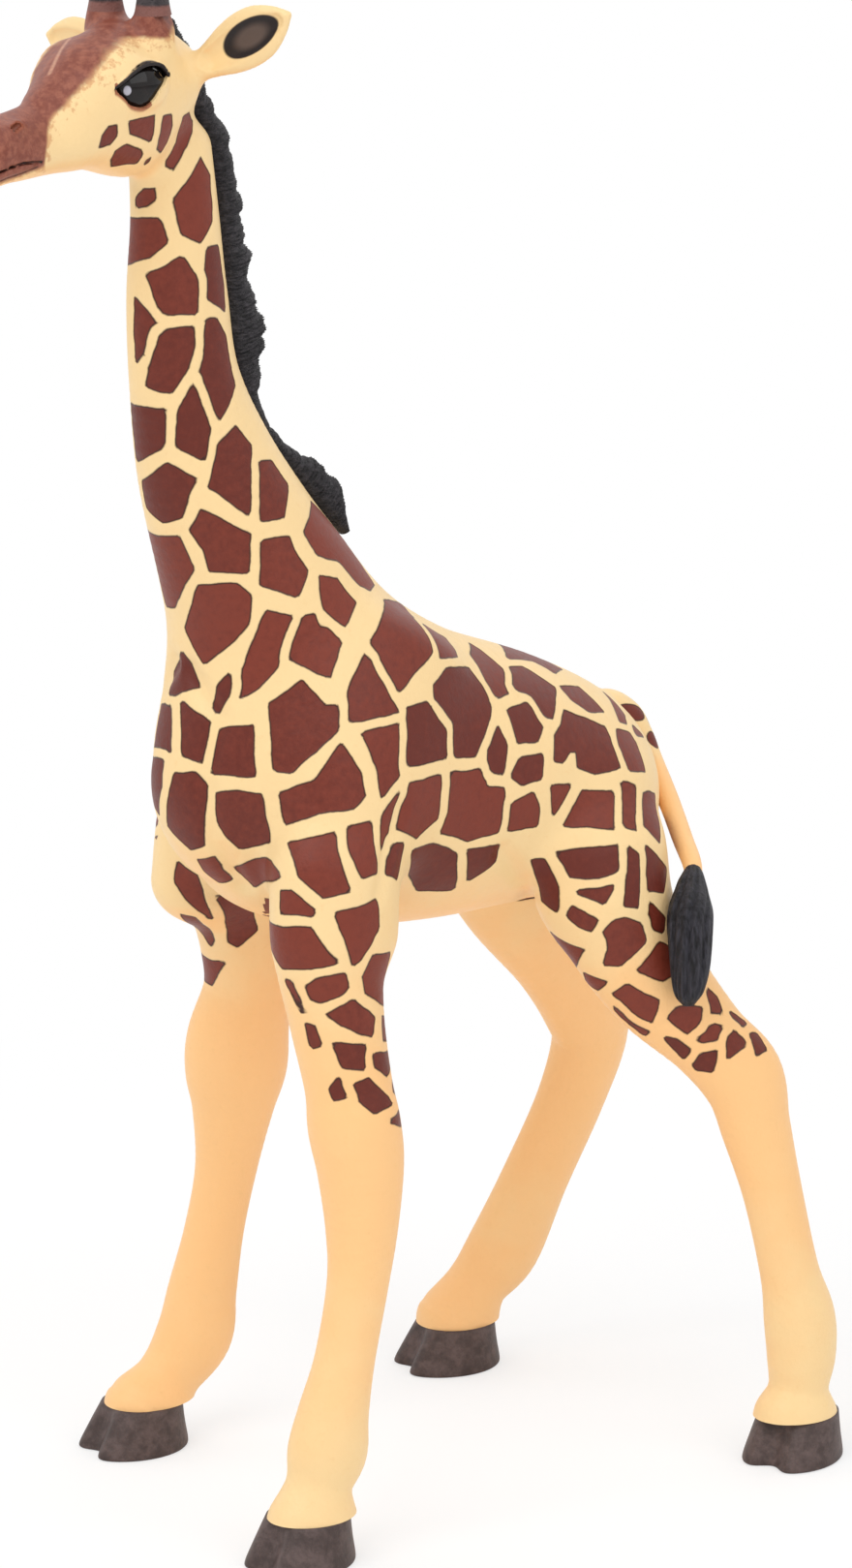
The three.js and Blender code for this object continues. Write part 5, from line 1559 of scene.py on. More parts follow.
def coat_place(points, normals):
    """Whether each place is plain, and how far apart centres are there."""
    x, y, z = points.T
    side = np.sign(x)
    local = to_head(points)
    near_head = (np.linalg.norm(local, axis=1) < CHEEK_ROUND) & (local[:, 2] > THROAT_LOW)
    spacing = np.where(z > NECK_LOW, NECK_SPACING, BODY_SPACING)
    leg = z < LEG_TOP
    spacing = np.where(leg, LEG_SPACING, spacing)
    spacing = np.where(z < KNEE_HEIGHT + KNEE_BAND, KNEE_SPACING, spacing)
    spacing = np.where(near_head, HEAD_SPACING, spacing)
    belly = (normals[:, 2] < BELLY_FACING) & (z < BELLY_TOP) & (np.abs(y) < HIP_Y)
    inner = leg & (normals[:, 0] * side < -INNER_FACING)
    low = z < KNEE_HEIGHT
    face = near_head & (local[:, 1] < FACE_BACK)
    return belly | inner | low | face | on_ear(local), spacing


def coat_key(points, normals):
    """What the distance between two places of the coat is measured on."""
    return np.hstack([points, normals * NORMAL_WEIGHT])


def apart(a, b):
    """Distances between all rows of a and b."""
    square = (a ** 2).sum(1)[:, None] + (b ** 2).sum(1) - 2 * a @ b.T
    return np.sqrt(np.maximum(square, 0))


class Patch:
    """A painted patch: its outline on the plane that touches the body in its middle."""

    def __init__(self, pixels, points, hit):
        away = np.linalg.norm(points - CAMERA, axis=1)
        usual = np.sort(away[hit])[(hit.sum() - 1) // 2]
        hit = hit & (np.abs(away - usual) < PATCH_THICKNESS)
        self.middle = points[hit].mean(axis=0)
        self.normal = unit(facing(points[hit]).sum(axis=0)[None])[0]
        side = np.cross(self.normal, (0, 0, 1))
        side = side / np.linalg.norm(side)
        self.axes = np.stack([side, np.cross(side, self.normal)])
        ways = sight(pixels)
        reach = (self.middle - CAMERA) @ self.normal / (ways @ self.normal)
        points = np.where(hit[:, None], points, CAMERA + ways * reach[:, None])
        self.outline = (points - self.middle) @ self.axes.T
        on_head = np.linalg.norm(to_head(self.middle[None])) < HEAD_ROUND
        self.growth = FACE_GROWTH if on_head else PATCH_GROWTH
        room = np.linalg.norm(self.outline, axis=1).max() + PATCH_MARGIN
        self.low, self.high = self.middle - room, self.middle + room

    def inside(self, points, normals):
        """Distance inside the outline, negative outside it."""
        out = np.full(len(points), -float(PATCH_MARGIN))
        near = within(points, self.low, self.high)
        off = np.abs((points[near] - self.middle) @ self.normal)
        front = normals[near] @ self.normal
        kept = (front > PATCH_FACING) & (off < PATCH_THICKNESS)
        near, off, front = near[kept], off[kept], front[kept]
        flat = (points[near] - self.middle) @ self.axes.T
        depth = outline_distance(flat, self.outline) + self.growth
        depth -= np.maximum(off - PATCH_FADE, 0) + np.maximum(FACING_FADE - front, 0) * PATCH_FADE
        out[near] = np.maximum(depth, -PATCH_MARGIN)
        return out


def outline_distance(flat, outline):
    """Signed distance to a closed outline in a plane, positive inside."""
    best = np.full(len(flat), FAR)
    inside = np.zeros(len(flat), bool)
    for a, b in zip(outline, np.roll(outline, -1, axis=0)):
        along = b - a
        best = np.minimum(best, from_segment(flat, a, b)[1])
        crosses = (a[1] > flat[:, 1]) != (b[1] > flat[:, 1])
        rise = np.where(crosses, flat[:, 1] - a[1], 0)
        inside ^= crosses & (flat[:, 0] < a[0] + along[0] * rise / (along[1] or FAR))
    return np.where(inside, best, -best)


patch_points, patch_hits = cast(np.vstack(PATCHES_PX))
patches = []
for outline in PATCHES_PX:
    start = sum(len(patch.outline) for patch in patches)
    rows = slice(start, start + len(outline))
    patches.append(Patch(outline, patch_points[rows], patch_hits[rows]))


def coat_centres():
    """Keys of the centres of grown patches and of plain places, and which of them are brown."""
    plain = on_body(PLAIN_CENTRES_PX)
    keys = coat_key(plain, facing(plain))
    is_brown = np.zeros(len(keys), bool)
    normals = facing(spots)
    spot_plain, spacing = coat_place(spots, normals)
    known = known_paint(spots, normals)[0]
    room = np.minimum(-known, hidden_room(spots, normals) + ROOM_AT_EDGE)
    spot_keys = coat_key(spots, normals)
    room = np.where(spot_plain, FAR, room / ROOM_SHARE)
    nearest = np.minimum(apart(spot_keys, keys).min(axis=1), room)
    while True:
        pick = int(np.argmax(nearest / spacing))
        if nearest[pick] < spacing[pick]:
            break
        keys = np.vstack([keys, spot_keys[pick]])
        is_brown = np.append(is_brown, not spot_plain[pick])
        nearest = np.minimum(nearest, apart(spot_keys, spot_keys[pick][None])[:, 0])
    return keys, is_brown


def tone_of(number):
    """A tone from 0 to 1 that goes with a patch's number."""
    return np.sin(number * TONE_TURN) / 2 + 0.5


def coat_border(points, normals):
    """Distance to the patch's border, positive in a brown patch, and the patch's own tone."""
    keys = coat_key(points + waver(points) * WARP, normals)
    border = np.zeros(len(points))
    tone = np.zeros(len(points))
    for start in range(0, len(points), CHUNK):
        rows = slice(start, start + CHUNK)
        gaps = apart(keys[rows], centre_keys)
        own = gaps.argmin(axis=1)
        least = gaps[np.arange(len(gaps)), own]
        reach = (gaps ** 2 - least[:, None] ** 2) / centre_gaps[own] / 2
        reach[np.arange(len(gaps)), own] = FAR
        rounded = -np.log(np.exp(-CORNER_ROUNDING * np.minimum(reach, FAR / 100)).sum(axis=1))
        to_brown = np.where(centre_brown[None], reach, FAR).min(axis=1)
        room = np.minimum(rounded / CORNER_ROUNDING, GROWN_REACH - least)
        border[rows] = np.where(centre_brown[own], room, -to_brown)
        tone[rows] = tone_of(own)
    return border, tone


def mirrored(points, normals):
    """Places and directions on the other side, and which given places are on the near cheek.

    On the head the sides are those of its own turned middle.
    """
    local = to_head(points)
    ways = to_head(points + normals) - local
    flipped = local * (-1, 1, 1)
    head_points = from_head(flipped)
    head_normals = from_head(flipped + ways * (-1, 1, 1)) - head_points
    on_head = (np.linalg.norm(local, axis=1) < HEAD_ROUND) & (local[:, 2] > THROAT_LOW)
    near_cheek = on_head & (local[:, 0] > 0)
    on_head = on_head[:, None]
    return (np.where(on_head, head_points, points * (-1, 1, 1)),
            np.where(on_head, head_normals, normals * (-1, 1, 1)), near_cheek)


def hidden_room(points, normals):
    """How far round the edge of what the photograph shows a place is, negative where it shows."""
    front = toward_camera(points, normals)
    covered = (front > 0) & ~seen(points, normals) & (points[:, 2] < NECK_BASE_HEIGHT)
    return np.where(covered, PATCH_MARGIN, -front * EDGE_REACH)


def known_paint(points, normals):
    """Distance inside the traced patches and their twins, the traced ones' alone, and a tone."""
    moved = points + waver(points * 2) * PAINT_WARP
    drawn, own = drawn_patches(moved, normals)
    twin_points, twin_normals, near_cheek = mirrored(moved, normals)
    twins, twin_own = drawn_patches(twin_points, twin_normals)
    twins = np.minimum(twins, hidden_room(points, normals))
    twins = np.minimum(twins, points[:, 2] - LEG_TOP)
    twins = np.minimum(twins, -drawn - BORDER_HALF * 2)
    twins[near_cheek] = -PATCH_MARGIN
    return np.maximum(drawn, twins), drawn, np.where(drawn > twins, own, twin_own)


def coat_paint(points, normals):
    """Distance inside the coat's brown paint, negative outside it, and each patch's own tone."""
    known, drawn, known_tone = known_paint(points, normals)
    grown, grown_tone = coat_border(points, normals)
    grown = np.minimum(grown - BORDER_HALF, hidden_room(points, normals))
    grown = np.minimum(grown, -known - BORDER_HALF * 2)
    return np.maximum(known, grown), np.where(known > grown, known_tone, grown_tone)


def drawn_patches(points, normals):
    """Distance inside the nearest traced patch, and a tone that goes with the patch."""
    depth = np.full(len(points), -float(PATCH_MARGIN))
    second = depth.copy()
    own = np.zeros(len(points))
    for n, patch in enumerate(patches):
        inside = patch.inside(points, normals)
        better = inside > depth
        own[better] = tone_of(n)
        second = np.where(better, depth, np.maximum(second, inside))
        depth = np.maximum(depth, inside)
    return np.minimum(depth, (depth - second) / 2 - PATCH_GAP_HALF), own


centre_keys, centre_brown = coat_centres()
centre_gaps = apart(centre_keys, centre_keys) + np.eye(len(centre_keys)) * FAR
print(len(centre_keys), "centres of the coat,", int(centre_brown.sum()), "brown")


# Face
MASK_EDGE_PX = [
    (176, 40), (165, 41), (150, 40), (134, 41), (125, 46), (118, 54), (112, 61), (105, 70),
    (96, 81), (86, 90), (78, 100), (70, 109), (60, 117), (53, 125), (50, 140), (48, 160),
]
MASK_TOP = (3, 2)  # back and up from its first point, past the ossicone
MASK_FOOT = (0, -2)
# Crest: a pale line along the far brow's ridge, a painted highlight
CREST_PX = [(72, 40), (66, 47), (60, 57), (55, 68), (51, 76)]
crest = on_body(CREST_PX)
CREST_WIDTH = 0.32
EYE_GLINT_SPOT = (1.15, 1.62, -0.15)  # painted highlight at the front of an eye: out, forward, up
EYE_GLINT_SIZE = (1, 0.3, 0.42)
EYE_ROOM = EYE_LENGTH * 0.6  # ahead of an eye's middle and behind it, where its lids are painted
RIM_BACK = EYE_LENGTH * 0.12  # how far behind the middle the red rim begins
MOUTH_PAINT = [(MOUTH_LINE, 0.13), (LIP_LINE, 0.07)]  # half widths of the dark lines
LIP_PAINT = 0.3  # how far the brown goes down past the lower lip's line
LINE_DARK = 0.25  # most that a drawn line is dark, below the tone of the ears' cups
EAR_PAINT_MIDDLE = 0.62  # along the ear, of its length
EAR_PAINT_REACH = 0.29  # from there each way
EAR_TURNED = 0.1  # the right ear's cup is painted where it turns this far from the camera
NO_PAINT = -5.0  # value of a mark where there is none of its paint
WARM_LOW = HIP_HEIGHT * 0.6  # below it the plain paint is peach
WARM_HIGH = HIP_HEIGHT * 1.1  # above it it is cream
UNDERSIDE_SHADE_PEACH = 0.7  # peach on what faces down, as painted shade
PALE_FOOT_AND_LIT_SIDE = (0.75, 0.25)  # how much paler the left feet and the right ones are; the left feet's extra paleness is painted light on the lit side
mask_edge = to_head(on_body(MASK_EDGE_PX))[:, 1:]
mask_edge = np.vstack([mask_edge[0] + MASK_TOP, mask_edge, mask_edge[-1] + MASK_FOOT])


def edge_side(points, line):
    """Signed distance to an open line in a plane, positive on its left."""
    best = np.full(len(points), FAR)
    side = np.zeros(len(points))
    for a, b in zip(line[:-1], line[1:]):
        along = b - a
        off, away = from_segment(points, a, b)
        closer = away < best
        best[closer] = away[closer]
        turn = along[0] * off[:, 1] - along[1] * off[:, 0]
        side[closer] = np.sign(turn[closer])
    return best * side


def smoothstep(low, high, value):
    """Zero at low, one at high, and smooth between them."""
    t = np.clip((value - low) / (high - low), 0, 1)
    return t * t * (3 - 2 * t)


def ear_paint(ear):
    """Distance inside the dark paint's edge in the cup of an ear, negative outside."""
    along = (ear[:, 0] / EAR_LENGTH - EAR_PAINT_MIDDLE) / EAR_PAINT_REACH
    half = EAR_WIDTH / 2 * EAR_PAINT_SHARE
    inside = (1 - np.sqrt(along ** 2 + (ear[:, 2] / half) ** 2)) * half
    return np.where(ear[:, 1] < 0, np.maximum(inside, NO_PAINT), NO_PAINT)


def eye_paint(local, side):
    """Distances inside the lash's dark paint and inside the red rim of one eye."""
    eye = to_eye(local, side)
    ahead, up = eye[:, 1], eye[:, 2]
    by_eye = (np.abs(eye[:, 0]) < EYE_DEPTH) & (np.abs(ahead) < EYE_ROOM)
    over = up - np.interp(ahead, *upper_lid)
    under = np.interp(ahead, *lower_lid) - up
    above = (under < 0) | (over > -LASH_RADIUS)
    lash = LASH_WIDTH - np.where(by_eye & above & (over > -LID * 2), over, FAR)
    before = ahead > -RIM_BACK
    rim = RIM_WIDTH - np.where(by_eye & before & (under > -LID * 2), under, FAR)
    return np.minimum(lash, LINE_DARK), rim


def mouth_paint(local):
    """Distance inside the dark lines along the mouth."""
    ahead = -local[:, 1]
    depths = []
    for line, half in MOUTH_PAINT:
        away = np.abs(local[:, 2] - line_height(ahead, line))
        depths.append(half - away - np.maximum(MOUTH_CORNER - ahead, 0))
    return np.maximum(*depths)


def face_marks(points, normals):
    """Distances inside the paints of the head, at places near it."""
    local = to_head(points)
    above_lip = local[:, 2] - line_height(-local[:, 1], LIP_LINE) + LIP_PAINT
    slit = nostril_distance(local)
    dark = np.maximum(NOSTRIL_RADIUS - slit, mouth_paint(local))
    rim = NOSTRIL_RIM - slit
    for name, side in SIDES.items():
        cup = ear_paint(to_ear(local, name))
        if name == "right":
            cup[toward_camera(points, normals) > -EAR_TURNED] = NO_PAINT
        lash, lid_rim = eye_paint(local, side)
        dark = np.maximum(dark, np.maximum(cup, lash))
        rim = np.maximum(rim, lid_rim)
    return {
        "mask": np.minimum(-edge_side(local[:, 1:], mask_edge), above_lip),
        "dark": dark,
        "rim": rim,
        # painted highlight along the far brow's crest
        "pale": CREST_WIDTH - line_distance(points, crest),
    }


def warmth(points, normals):
    """How far the plain paint is peach and not cream. Peach on what faces down is painted shade,
    and the left feet's extra paleness is painted light.
    """
    x, y, z = points.T
    warm = 1 - smoothstep(WARM_LOW, WARM_HIGH, z)
    foot = 1 - smoothstep(PALE_FOOT_LOW, KNEE_HEIGHT, z)
    # the feet pale from the knees down, and the left feet, on the lit side, are paler still as
    # painted light
    warm = warm - np.where(x > 0, *PALE_FOOT_AND_LIT_SIDE) * foot
    return np.maximum(warm, smoothstep(0, 1, -normals[:, 2]) * UNDERSIDE_SHADE_PEACH)


def coat_marks(points, normals):
    """Values that the coat's paint is mixed from, at each vertex."""
    border, tone = coat_paint(points, normals)
    marks = {"patch": border, "tone": tone, "warm": warmth(points, normals)}
    near = np.linalg.norm(to_head(points), axis=1) < SKULL_LENGTH * 2
    for mark, values in face_marks(points[near], normals[near]).items():
        marks[mark] = np.full(len(points), NO_PAINT)
        marks[mark][near] = values
    return marks


# Materials
def shader(name):
    """A new material, its node tree and its shader."""
    material = bpy.data.materials.new(name)
    material.use_nodes = True
    tree = material.node_tree
    return material, tree, tree.nodes["Principled BSDF"]


def add_node(tree, kind, **settings):
    """A node with its settings. Numbered inputs are given as in0, in1 and so on."""
    node = tree.nodes.new(kind)
    for key, value in settings.items():
        if key.startswith("in") and key[2:].isdigit():
            socket = node.inputs[int(key[2:])]
            if isinstance(value, bpy.types.NodeSocket):
                tree.links.new(value, socket)
            else:
                socket.default_value = value
        else:
            setattr(node, key, value)
    return node


def paint(red, green, blue):
    """A colour given as it shows, 0 to 255, in the shader's own light values."""
    shares = np.array([red, green, blue]) / 255
    light = np.where(shares < 0.04045, shares / 12.92, ((shares + 0.055) / 1.055) ** 2.4)
    return (*light.tolist(), 1)


def mark_value(tree, name):
    """The value of a mark at the vertices."""
    return add_node(tree, "ShaderNodeAttribute", attribute_name=name).outputs["Fac"]


def between(tree, value, low, high, to_low=0, to_high=1):
    """A smooth change from one value to another while the given value goes from low to high."""
    node = add_node(tree, "ShaderNodeMapRange", interpolation_type="SMOOTHSTEP", in0=value,
                    in1=low, in2=high, in3=to_low, in4=to_high)
    return node.outputs[0]


def maths(tree, operation, *values):
    """One sum, product or other operation on values."""
    inputs = {f"in{index}": value for index, value in enumerate(values)}
    return add_node(tree, "ShaderNodeMath", operation=operation, **inputs).outputs[0]


def ripple(tree, value, height):
    """A noise of 0 to 1 turned into one about 0, that high in all."""
    return maths(tree, "MULTIPLY", maths(tree, "SUBTRACT", value, 0.5), height)


def weighted(tree, first, first_share, second, second_share):
    """Sum of two values, each times its share."""
    return maths(tree, "ADD", maths(tree, "MULTIPLY", first, first_share),
                 maths(tree, "MULTIPLY", second, second_share))


def mixed_colour(tree, share, first, second):
    """A mix of two colours."""
    node = add_node(tree, "ShaderNodeMix", data_type="RGBA", in0=share, in6=first, in7=second)
    return node.outputs[2]


def noise(tree, per_mm, detail=3, roughness=0.55, stretch=(1, 1, 1)):
    """Noise from 0 to 1 with about that many ripples in a millimetre."""
    spot = add_node(tree, "ShaderNodeTexCoord").outputs["Object"]
    scaled = add_node(tree, "ShaderNodeVectorMath", operation="MULTIPLY", in0=spot, in1=stretch)
    node = add_node(tree, "ShaderNodeTexNoise", in0=scaled.outputs[0])
    node.inputs["Scale"].default_value = per_mm / MM
    node.inputs["Detail"].default_value = detail
    node.inputs["Roughness"].default_value = roughness
    return node.outputs[0]


def add_bump(tree, principled, height, distance):
    """Relief of the given height in millimetres."""
    node = add_node(tree, "ShaderNodeBump")
    node.inputs["Strength"].default_value = 1
    node.inputs["Distance"].default_value = distance * MM
    tree.links.new(height, node.inputs["Height"])
    tree.links.new(node.outputs[0], principled.inputs["Normal"])


CREAM = paint(247, 214, 158)
PEACH = paint(252, 200, 138)
CREAM_SHADE = paint(236, 190, 128)
PATCH_BROWN = paint(98, 36, 24)
PATCH_RED = paint(124, 52, 36)
PATCH_EDGE = paint(62, 30, 20)
MASK_BROWN = paint(126, 66, 52)
MASK_LIGHT = paint(160, 98, 78)
MASK_SPECK = paint(204, 140, 90)
INK = paint(34, 26, 26)
EAR_INNER = paint(92, 76, 68)
RIM_RED = paint(150, 78, 52)
# colour of the painted highlight along the brow's crest
CREST_HIGHLIGHT = paint(214, 162, 134)
# colour of the painted highlight on the eyeballs
HORN_BROWN = paint(128, 84, 76)
EYE_GLINT = paint(184, 182, 192)
BORDER_SOFT = 0.07  # half the width over which a patch's border fades
OUTLINE_WIDTH = 0.18  # of the dark line inside it
PATCH_WOBBLE = 0.3  # how unsteady the brush was, from side to side
MASK_WOBBLE = 0.45
MASK_SPECKS = 5  # millimetres over which specks scatter about the mask's edge
COAT_SPECULAR = 0.3
COAT_ROUGHNESS = (0.36, 0.5)
PATCH_SUNK = 0.09  # millimetres, the plain lines stand this high above the patches
FINE_RELIEF = 0.05
GRAIN_RELIEF = 0.02


def plain_colour(tree, fine):
    """The colour between the patches, from cream to peach."""
    # the warm mark carries painted shade on what faces down and painted light on the left feet
    warm = maths(tree, "ADD", mark_value(tree, "warm"), ripple(tree, noise(tree, 0.11), 1))
    base = mixed_colour(tree, between(tree, warm, 0.1, 0.9), CREAM, PEACH)
    return mixed_colour(tree, between(tree, fine, 0.55, 0.85, 0, 0.35), base, CREAM_SHADE)


def patched_colour(tree, patch, fine):
    """The plain colour with the brown patches and their dark outlines."""
    toned = weighted(tree, mark_value(tree, "tone"), 0.35, fine, 0.65)
    brown = mixed_colour(tree, between(tree, toned, 0.25, 0.75), PATCH_BROWN, PATCH_RED)
    inside = between(tree, patch, OUTLINE_WIDTH / 2, OUTLINE_WIDTH)
    brown = mixed_colour(tree, inside, PATCH_EDGE, brown)
    in_patch = between(tree, patch, -BORDER_SOFT, BORDER_SOFT)
    return mixed_colour(tree, in_patch, plain_colour(tree, fine), brown)


def faced_colour(tree, colour, wobble, fine):
    """The colour with the face's mask, its specks, the painted highlight along the brow's crest,
    rims, and dark paint on top.
    """
    mask = maths(tree, "ADD", mark_value(tree, "mask"), ripple(tree, wobble, MASK_WOBBLE))
    specks = maths(tree, "ADD", mask, ripple(tree, fine, MASK_SPECKS))
    colour = mixed_colour(tree, between(tree, specks, -0.5, 0.3, 0, 0.6), colour, MASK_SPECK)
    masked = mixed_colour(tree, between(tree, fine, 0.35, 0.75), MASK_BROWN, MASK_LIGHT)
    colour = mixed_colour(tree, between(tree, mask, -0.1, 0.35), colour, masked)
    # painted highlight along the brow's crest
    pale = between(tree, mark_value(tree, "pale"), 0, 0.3, 0, 0.7)
    colour = mixed_colour(tree, pale, colour, CREST_HIGHLIGHT)
    rim = between(tree, mark_value(tree, "rim"), 0, 0.3, 0, 0.9)
    colour = mixed_colour(tree, rim, colour, RIM_RED)
    dark = mark_value(tree, "dark")
    inked = mixed_colour(tree, between(tree, dark, 0.3, 0.9), INK, EAR_INNER)
    return mixed_colour(tree, between(tree, dark, -0.05, 0.08), colour, inked)


def coat_material():
    """The coat's paint, mixed from the marks at the vertices, with the patches a little sunk."""
    material, tree, principled = shader("coat")
    fine = noise(tree, 1.6, 5, 0.65)
    grain = noise(tree, 5, 4, 0.6)
    wobble = noise(tree, 0.55, 4)
    patch = maths(tree, "ADD", mark_value(tree, "patch"), ripple(tree, wobble, PATCH_WOBBLE))
    colour = faced_colour(tree, patched_colour(tree, patch, fine), wobble, fine)
    tree.links.new(colour, principled.inputs["Base Color"])
    principled.inputs["Specular IOR Level"].default_value = COAT_SPECULAR
    rough = between(tree, fine, 0.2, 0.8, *COAT_ROUGHNESS)
    tree.links.new(rough, principled.inputs["Roughness"])
    raised = between(tree, patch, -0.15, 0.2, PATCH_SUNK, 0)
    relief = weighted(tree, fine, FINE_RELIEF, grain, GRAIN_RELIEF)
    add_bump(tree, principled, maths(tree, "ADD", raised, relief), 1)
    return material


STREAKED_SPECULAR = 0.3


def streaked_material(name, dark, light, per_mm, rough, relief, stretch=(1, 1, 1), marked=None):
    """A paint of two close colours with fine relief, and a third one where it is marked.

    per_mm is how many streaks there are in a millimetre, and relief is in millimetres.
    """
    material, tree, principled = shader(name)
    streak = noise(tree, per_mm, 6, 0.7, stretch)
    grain = noise(tree, per_mm * 4, 3)
    colour = mixed_colour(tree, between(tree, streak, 0.35, 0.7), dark, light)
    if marked is not None:
        mark = weighted(tree, mark_value(tree, "marked"), 1, streak, 0.2)
        colour = mixed_colour(tree, between(tree, mark, 0, 0.3), colour, marked)
    tree.links.new(colour, principled.inputs["Base Color"])
    tree.links.new(between(tree, streak, 0.2, 0.8, *rough), principled.inputs["Roughness"])
    principled.inputs["Specular IOR Level"].default_value = STREAKED_SPECULAR
    add_bump(tree, principled, weighted(tree, streak, 1, grain, 0.3), relief)
    return material


coat = coat_material()
hair = streaked_material("hair", paint(30, 28, 30), paint(78, 74, 78), per_mm=1.6,
                         rough=(0.4, 0.6), relief=0.5, stretch=(1, 1, 2.5))
tuft_hair = streaked_material("tuft_hair", paint(15, 14, 17), paint(66, 64, 72), per_mm=1.8,
                              rough=(0.35, 0.55), relief=0.4, stretch=(1.5, 1.5, 0.14))
horn = streaked_material("horn", paint(66, 53, 50), paint(98, 82, 79), per_mm=0.7,
                         rough=(0.4, 0.55), relief=0.08)
crown = streaked_material("crown", paint(40, 36, 38), paint(78, 70, 72), per_mm=1.1,
                          rough=(0.4, 0.6), relief=0.2, marked=HORN_BROWN)
# the glass's marked colour is the eyes' painted highlight
glass = streaked_material("glass", paint(16, 13, 13), paint(30, 24, 22), per_mm=0.8,
                          rough=(0.05, 0.09), relief=0.0, marked=EYE_GLINT)


# Build the pieces
TAIL_PATCHES = [
    # how far down and how far round the tail, both from 0 to 1, half length and half width
    (0.1, 0.3, 0.075, 0.14),
    (0.3, 0.36, 0.055, 0.1),
    (0.12, 0.72, 0.07, 0.12),
    (0.33, 0.68, 0.06, 0.09),
    (0.22, 0.0, 0.05, 0.1),
    (0.2, 0.5, 0.06, 0.1),
]
TAIL_TONE = 0.3
TAIL_WARM = (0.25, 0.6)  # down the tail, where it turns from cream to peach
HORN_PAINT_TOP = 5.7  # in the head's own coordinates, how high the ossicones are brown
torso_low = (-TRUNK_WIDTH, TRUNK_FRONT - TRUNK_DEPTH / 2, RUMP_HEIGHT - TRUNK_DEPTH)
torso_high = (TRUNK_WIDTH, TRUNK_FRONT + TRUNK_LENGTH + TRUNK_DEPTH / 2,
              NECK_BASE_HEIGHT + NECK_RISE / 2)
neck_low = (-NECK_WIDTH, NECK_BASE_Y - NECK_LEAN - NECK_DEPTH, NECK_BASE_HEIGHT - OVERRUN)
neck_high = (NECK_WIDTH, NECK_BASE_Y + NECK_DEPTH, HEAD_HEIGHT + SKULL_DEPTH)
head_low = (HEAD_SHIFT - SKULL_LENGTH, HEAD_Y - MUZZLE_LENGTH - MUZZLE_WIDTH,
            HEAD_HEIGHT - SKULL_DEPTH - JAW_DEPTH)
head_high = (HEAD_SHIFT + SKULL_LENGTH, HEAD_Y + SKULL_LENGTH + SKULL_WIDTH,
             HEAD_HEIGHT + SKULL_DEPTH)


def skin(name, *form):
    """A painted piece of the body."""
    vertices, faces, normals = formed(name, *form)
    marks = coat_marks(vertices, normals)
    place(f"{name}_look", name, vertices, faces, normals, marks, coat)


def tail_marks(vertices):
    """Values that the coat's paint is mixed from, at the vertices of the tail's rings."""
    down = (TAIL_ROOT_HEIGHT - vertices[:, 2]) / TAIL_DROP
    round_it = np.arange(len(vertices)) % TAIL_SIDES / TAIL_SIDES
    none = np.full(len(vertices), NO_PAINT)
    patch = none
    for at, turned, long, wide in TAIL_PATCHES:
        around = (round_it - turned + 0.5) % 1 - 0.5
        reach = np.sqrt(((down - at) / long) ** 2 + (around / wide) ** 2)
        patch = np.maximum(patch, (1 - reach) * TAIL_WIDTH / 3)
    return {"patch": patch, "mask": none, "dark": none, "rim": none, "pale": none,
            "tone": np.full(len(vertices), TAIL_TONE),
            "warm": smoothstep(*TAIL_WARM, down) * 1.1 - 0.1}


leg_cuts = [leg.cut for leg in legs.values()]
skin("torso", torso_low, torso_high, TRUNK_CELL, None, [neck_cut, *leg_cuts])
skin("neck", neck_low, neck_high, TRUNK_CELL, neck_cut, [head_cut])
skin("head", head_low, head_high, HEAD_CELL, head_cut,
     [*ear_cuts.values(), *ossicone_cuts.values()])
for name, leg in legs.items():
    skin(f"{name}_leg", leg.low, leg.high, LEG_CELL, leg.cut, [sole_cut(leg)])
for name in SIDES:
    cut = ear_cuts[name]
    skin(f"{name}_ear", cut.low - OVERRUN, cut.high + OVERRUN, EAR_CELL, cut)
    cut = ossicone_cuts[name]
    vertices, faces, normals = formed(f"{name}_ossicone", cut.low - OVERRUN,
                                      cut.high + OVERRUN, EAR_CELL, cut)
    painted = {"marked": HORN_PAINT_TOP - to_head(vertices)[:, 2]}
    place(f"{name}_ossicone_look", f"{name}_ossicone", vertices, faces, normals, painted, crown)
    vertices, faces = eyeball(SIDES[name])
    # a painted highlight near the front of each eyeball
    off = (to_eye(to_head(vertices), SIDES[name]) - EYE_GLINT_SPOT) / EYE_GLINT_SIZE
    spot = {"marked": 1 - np.linalg.norm(off, axis=1)}
    place(f"{name}_eye_look", f"{name}_eye", vertices, faces, None, spot, glass)
for name, leg in legs.items():
    vertices, faces = hoof(leg)
    place(f"{name}_hoof_look", f"{name}_hoof", vertices, faces, None, {}, horn)
for name, rings, material in (("mane", mane(), hair), ("tail_tuft", tuft(), tuft_hair)):
    vertices, faces = rings
    place(f"{name}_look", name, vertices, faces, None, {}, material)
vertices, faces = tail_tube()
place("tail_look", "tail", vertices, faces, None, tail_marks(vertices), coat)


# Floor, light and camera
FLOOR_REACH = 3  # metres each way
FLOOR_NEAR = 0.05  # metres from the middle, within which the floor shows shadows in full
FLOOR_FAR = 0.14  # further out it is plain white to the camera
FLOOR_GLOW = 0.6  # share of plain white in its middle
LAMPS = [
    # azimuth and elevation in degrees, size in metres and power in watts
    (20, 50, 0.5, 1.9),
    (100, 40, 0.6, 1.3),
    (-60, 35, 0.6, 0.8),
    (200, 45, 0.6, 0.8),
]
LAMP_DISTANCE = 0.7
WORLD_STRENGTH = 0.55

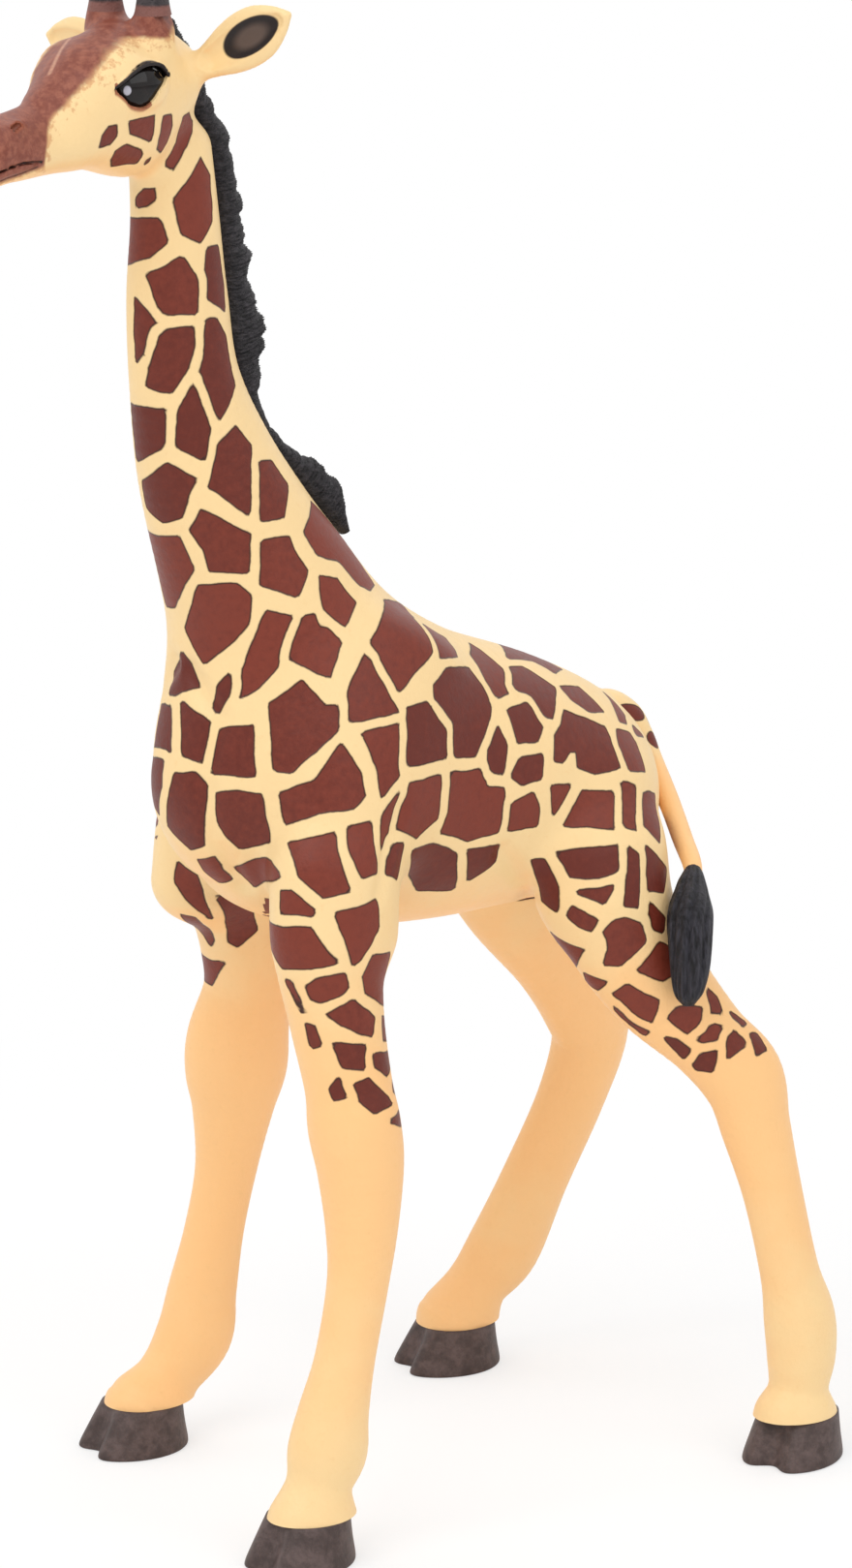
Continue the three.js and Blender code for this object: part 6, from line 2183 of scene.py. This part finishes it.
bpy.ops.mesh.primitive_plane_add(size=FLOOR_REACH * 2, location=(0, 0, 0))
floor = bpy.context.object
floor.name = "floor"
floor_material, tree, _ = shader("floor")
tree.nodes.clear()
diffuse = add_node(tree, "ShaderNodeBsdfDiffuse", in0=(1, 1, 1, 1))
glow = add_node(tree, "ShaderNodeEmission", in0=(1, 1, 1, 1), in1=1)
path = add_node(tree, "ShaderNodeLightPath")
spot = add_node(tree, "ShaderNodeNewGeometry").outputs["Position"]
far = add_node(tree, "ShaderNodeVectorMath", operation="LENGTH", in0=spot)
whiter = between(tree, far.outputs["Value"], FLOOR_NEAR, FLOOR_FAR, FLOOR_GLOW, 1)
glow_share = maths(tree, "MULTIPLY", path.outputs["Is Camera Ray"], whiter)
mixed = add_node(tree, "ShaderNodeMixShader", in0=glow_share,
                 in1=diffuse.outputs[0], in2=glow.outputs[0])
add_node(tree, "ShaderNodeOutputMaterial", in0=mixed.outputs[0])
floor.data.materials.append(floor_material)

world = bpy.data.worlds.new("world")
bpy.context.scene.world = world
world.use_nodes = True
tree = world.node_tree
tree.nodes.clear()
path = add_node(tree, "ShaderNodeLightPath")
lit = maths(tree, "MAXIMUM", path.outputs["Is Camera Ray"], WORLD_STRENGTH)
lit = maths(tree, "MAXIMUM", lit, path.outputs["Is Glossy Ray"])
lit = maths(tree, "MAXIMUM", lit, path.outputs["Is Transmission Ray"])
back = add_node(tree, "ShaderNodeBackground", in0=(1, 1, 1, 1), in1=lit)
add_node(tree, "ShaderNodeOutputWorld", in0=back.outputs[0])

middle = Vector((solid_low + solid_high) / 2)
for azimuth, elevation, size, power in LAMPS:
    lamp = bpy.data.lights.new("lamp", "AREA")
    lamp.size = size
    lamp.energy = power
    holder = bpy.data.objects.new("lamp", lamp)
    across, up = math.cos(elevation * DEGREE), math.sin(elevation * DEGREE)
    way = Vector((math.sin(azimuth * DEGREE) * across, -math.cos(azimuth * DEGREE) * across, up))
    holder.location = middle + way * LAMP_DISTANCE
    holder.rotation_euler = way.to_track_quat("Z", "Y").to_euler()
    bpy.context.scene.collection.objects.link(holder)

SENSOR = 36
CLIP = (0.01, 20)  # metres from the camera
lens = bpy.data.cameras.new("camera")
lens.sensor_width = SENSOR
lens.lens = SENSOR * FOCAL_PX / PHOTO_HEIGHT_PX
lens.clip_start, lens.clip_end = CLIP
camera = bpy.data.objects.new("camera", lens)
bpy.context.scene.collection.objects.link(camera)
camera.location = Vector((CAMERA + SHIFT) * MM)
gaze = Vector((CAMERA_TARGET - CAMERA) * MM)
camera.rotation_euler = gaze.to_track_quat("-Z", "Y").to_euler()
bpy.context.scene.camera = camera
bpy.context.scene.view_settings.view_transform = "Standard"
